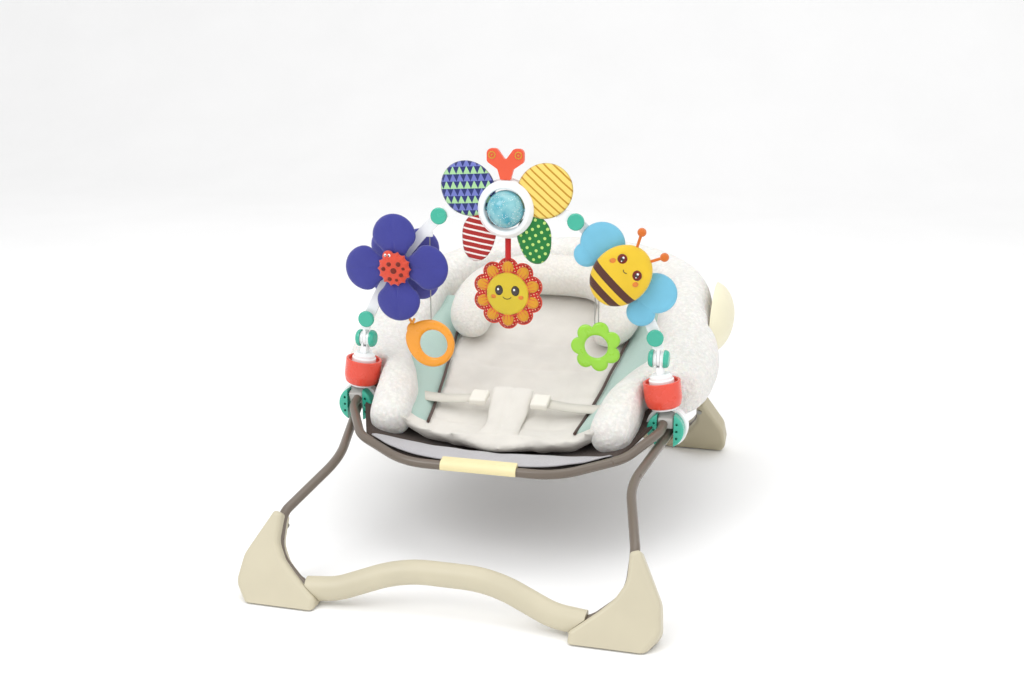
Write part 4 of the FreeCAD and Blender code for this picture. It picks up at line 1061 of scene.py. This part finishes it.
snail = Shape()
snail.annulus(SNAIL, shell, SNAIL + Vector((0.0035, 0, -0.0005)), 0.0205, 0.0086)
snail.puff(SNAIL + Vector((-0.0285, 0, 0.0190)), ellipse(0.0088, 0.0105), 0.0084, rings=6, spokes=32)
foot = SNAIL + Vector((-0.0285, 0, 0.0265))
for dx, dz in ((-3.4, 4.0), (3.0, 4.6)):
    tip = foot + Vector((dx * MM, 0, dz * MM + 0.003))
    horn = [foot, (foot + tip) / 2, tip, tip + Vector((0, 0, 0.0014))]
    snail.tube(horn, (0.0026, 0.0019, 0.0023, 0.0017), 10)
snail.piece("snail_ring_body", ORANGE, "snail", ("snail_ring",), subdivide=1)

TEETHER = Vector((0.126, HANG_Y, 0.278))
teether = Shape()
teether.annulus(TEETHER, scallops(0.036, 7, 0.0122), TEETHER, 0.016, 0.0086, spokes=168)
teether.piece("flower_teether_body", GREEN, "teether", ("flower_teether",), subdivide=1)


CORD_THICK = 0.0016


def free_cord(name, points, body, replaced):
    """Limp cord drawn through its route's control points."""
    data = bpy.data.curves.new(name, "CURVE")
    data.dimensions = "3D"
    data.bevel_depth = CORD_THICK / 2
    data.bevel_resolution = 3
    spline = data.splines.new("NURBS")
    spline.points.add(len(points) - 1)
    for point, place in zip(spline.points, points):
        point.co = (*place, 1)
    spline.order_u = 3
    spline.use_endpoint_u = True
    spline.resolution_u = 12
    data.materials.append(CORD)
    item = bpy.data.objects.new(name, data)
    scene.collection.objects.link(item)
    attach(item, body)
    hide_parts(replaced)
    return item


snail_low, snail_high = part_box("snail_cord")
snail_x = -0.114
snail_run = [(snail_x, HANG_Y, snail_high.z), (snail_x, HANG_Y, snail_high.z - 0.04),
             (snail_x, HANG_Y, snail_low.z + 0.04), (snail_x, HANG_Y, snail_low.z)]
snail_line = free_cord("snail_cord_line", snail_run, "snail", "snail_cord")

# One cord doubled round the teether's top petal
loop_low, loop_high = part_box("teether_cord")
left_x, right_x, foot_z = 0.126 - 0.0026, 0.126 + 0.0026, loop_low.z + CORD_THICK / 2
loop_run = [(left_x, HANG_Y, loop_high.z), (left_x, HANG_Y, loop_high.z - 0.04),
            (left_x, HANG_Y, foot_z + 0.03), (left_x, HANG_Y, foot_z + 0.004),
            (left_x, HANG_Y, foot_z), (right_x, HANG_Y, foot_z),
            (right_x, HANG_Y, foot_z + 0.004), (right_x, HANG_Y, foot_z + 0.03),
            (right_x, HANG_Y, loop_high.z - 0.04), (right_x, HANG_Y, loop_high.z)]
teether_line = free_cord("teether_cord_line", loop_run, "teether", "teether_cord")

# ------------------------------------------------------------------ floor and finish
COVE = 1.5
cove_turns = [math.radians(degrees) for degrees in range(10, 91, 10)]
floor_line = [(-6.0, 0.0), (3.0, 0.0)]
floor_line += [(3.0 + COVE * math.sin(turn), COVE - COVE * math.cos(turn)) for turn in cove_turns]
floor_line += [(4.5, 6.0)]
floor = Shape()
for (y0, z0), (y1, z1) in zip(floor_line, floor_line[1:]):
    floor.add([(-8, y0, z0), (8, y0, z0), (8, y1, z1), (-8, y1, z1)], [(0, 1, 2, 3)])
paper = Look("floor_paper", 0.9, Specular_IOR_Level=0.2)
drift = paper.ramp(paper.noise(3), 0.3, 0.7)
paper.paint(paper.mix(drift, (0.955, 0.955, 0.955, 1), (0.975, 0.975, 0.975, 1)))
floor_item = floor.item("studio_floor", paper.material, weld=0.001)
floor_item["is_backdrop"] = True

low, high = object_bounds()
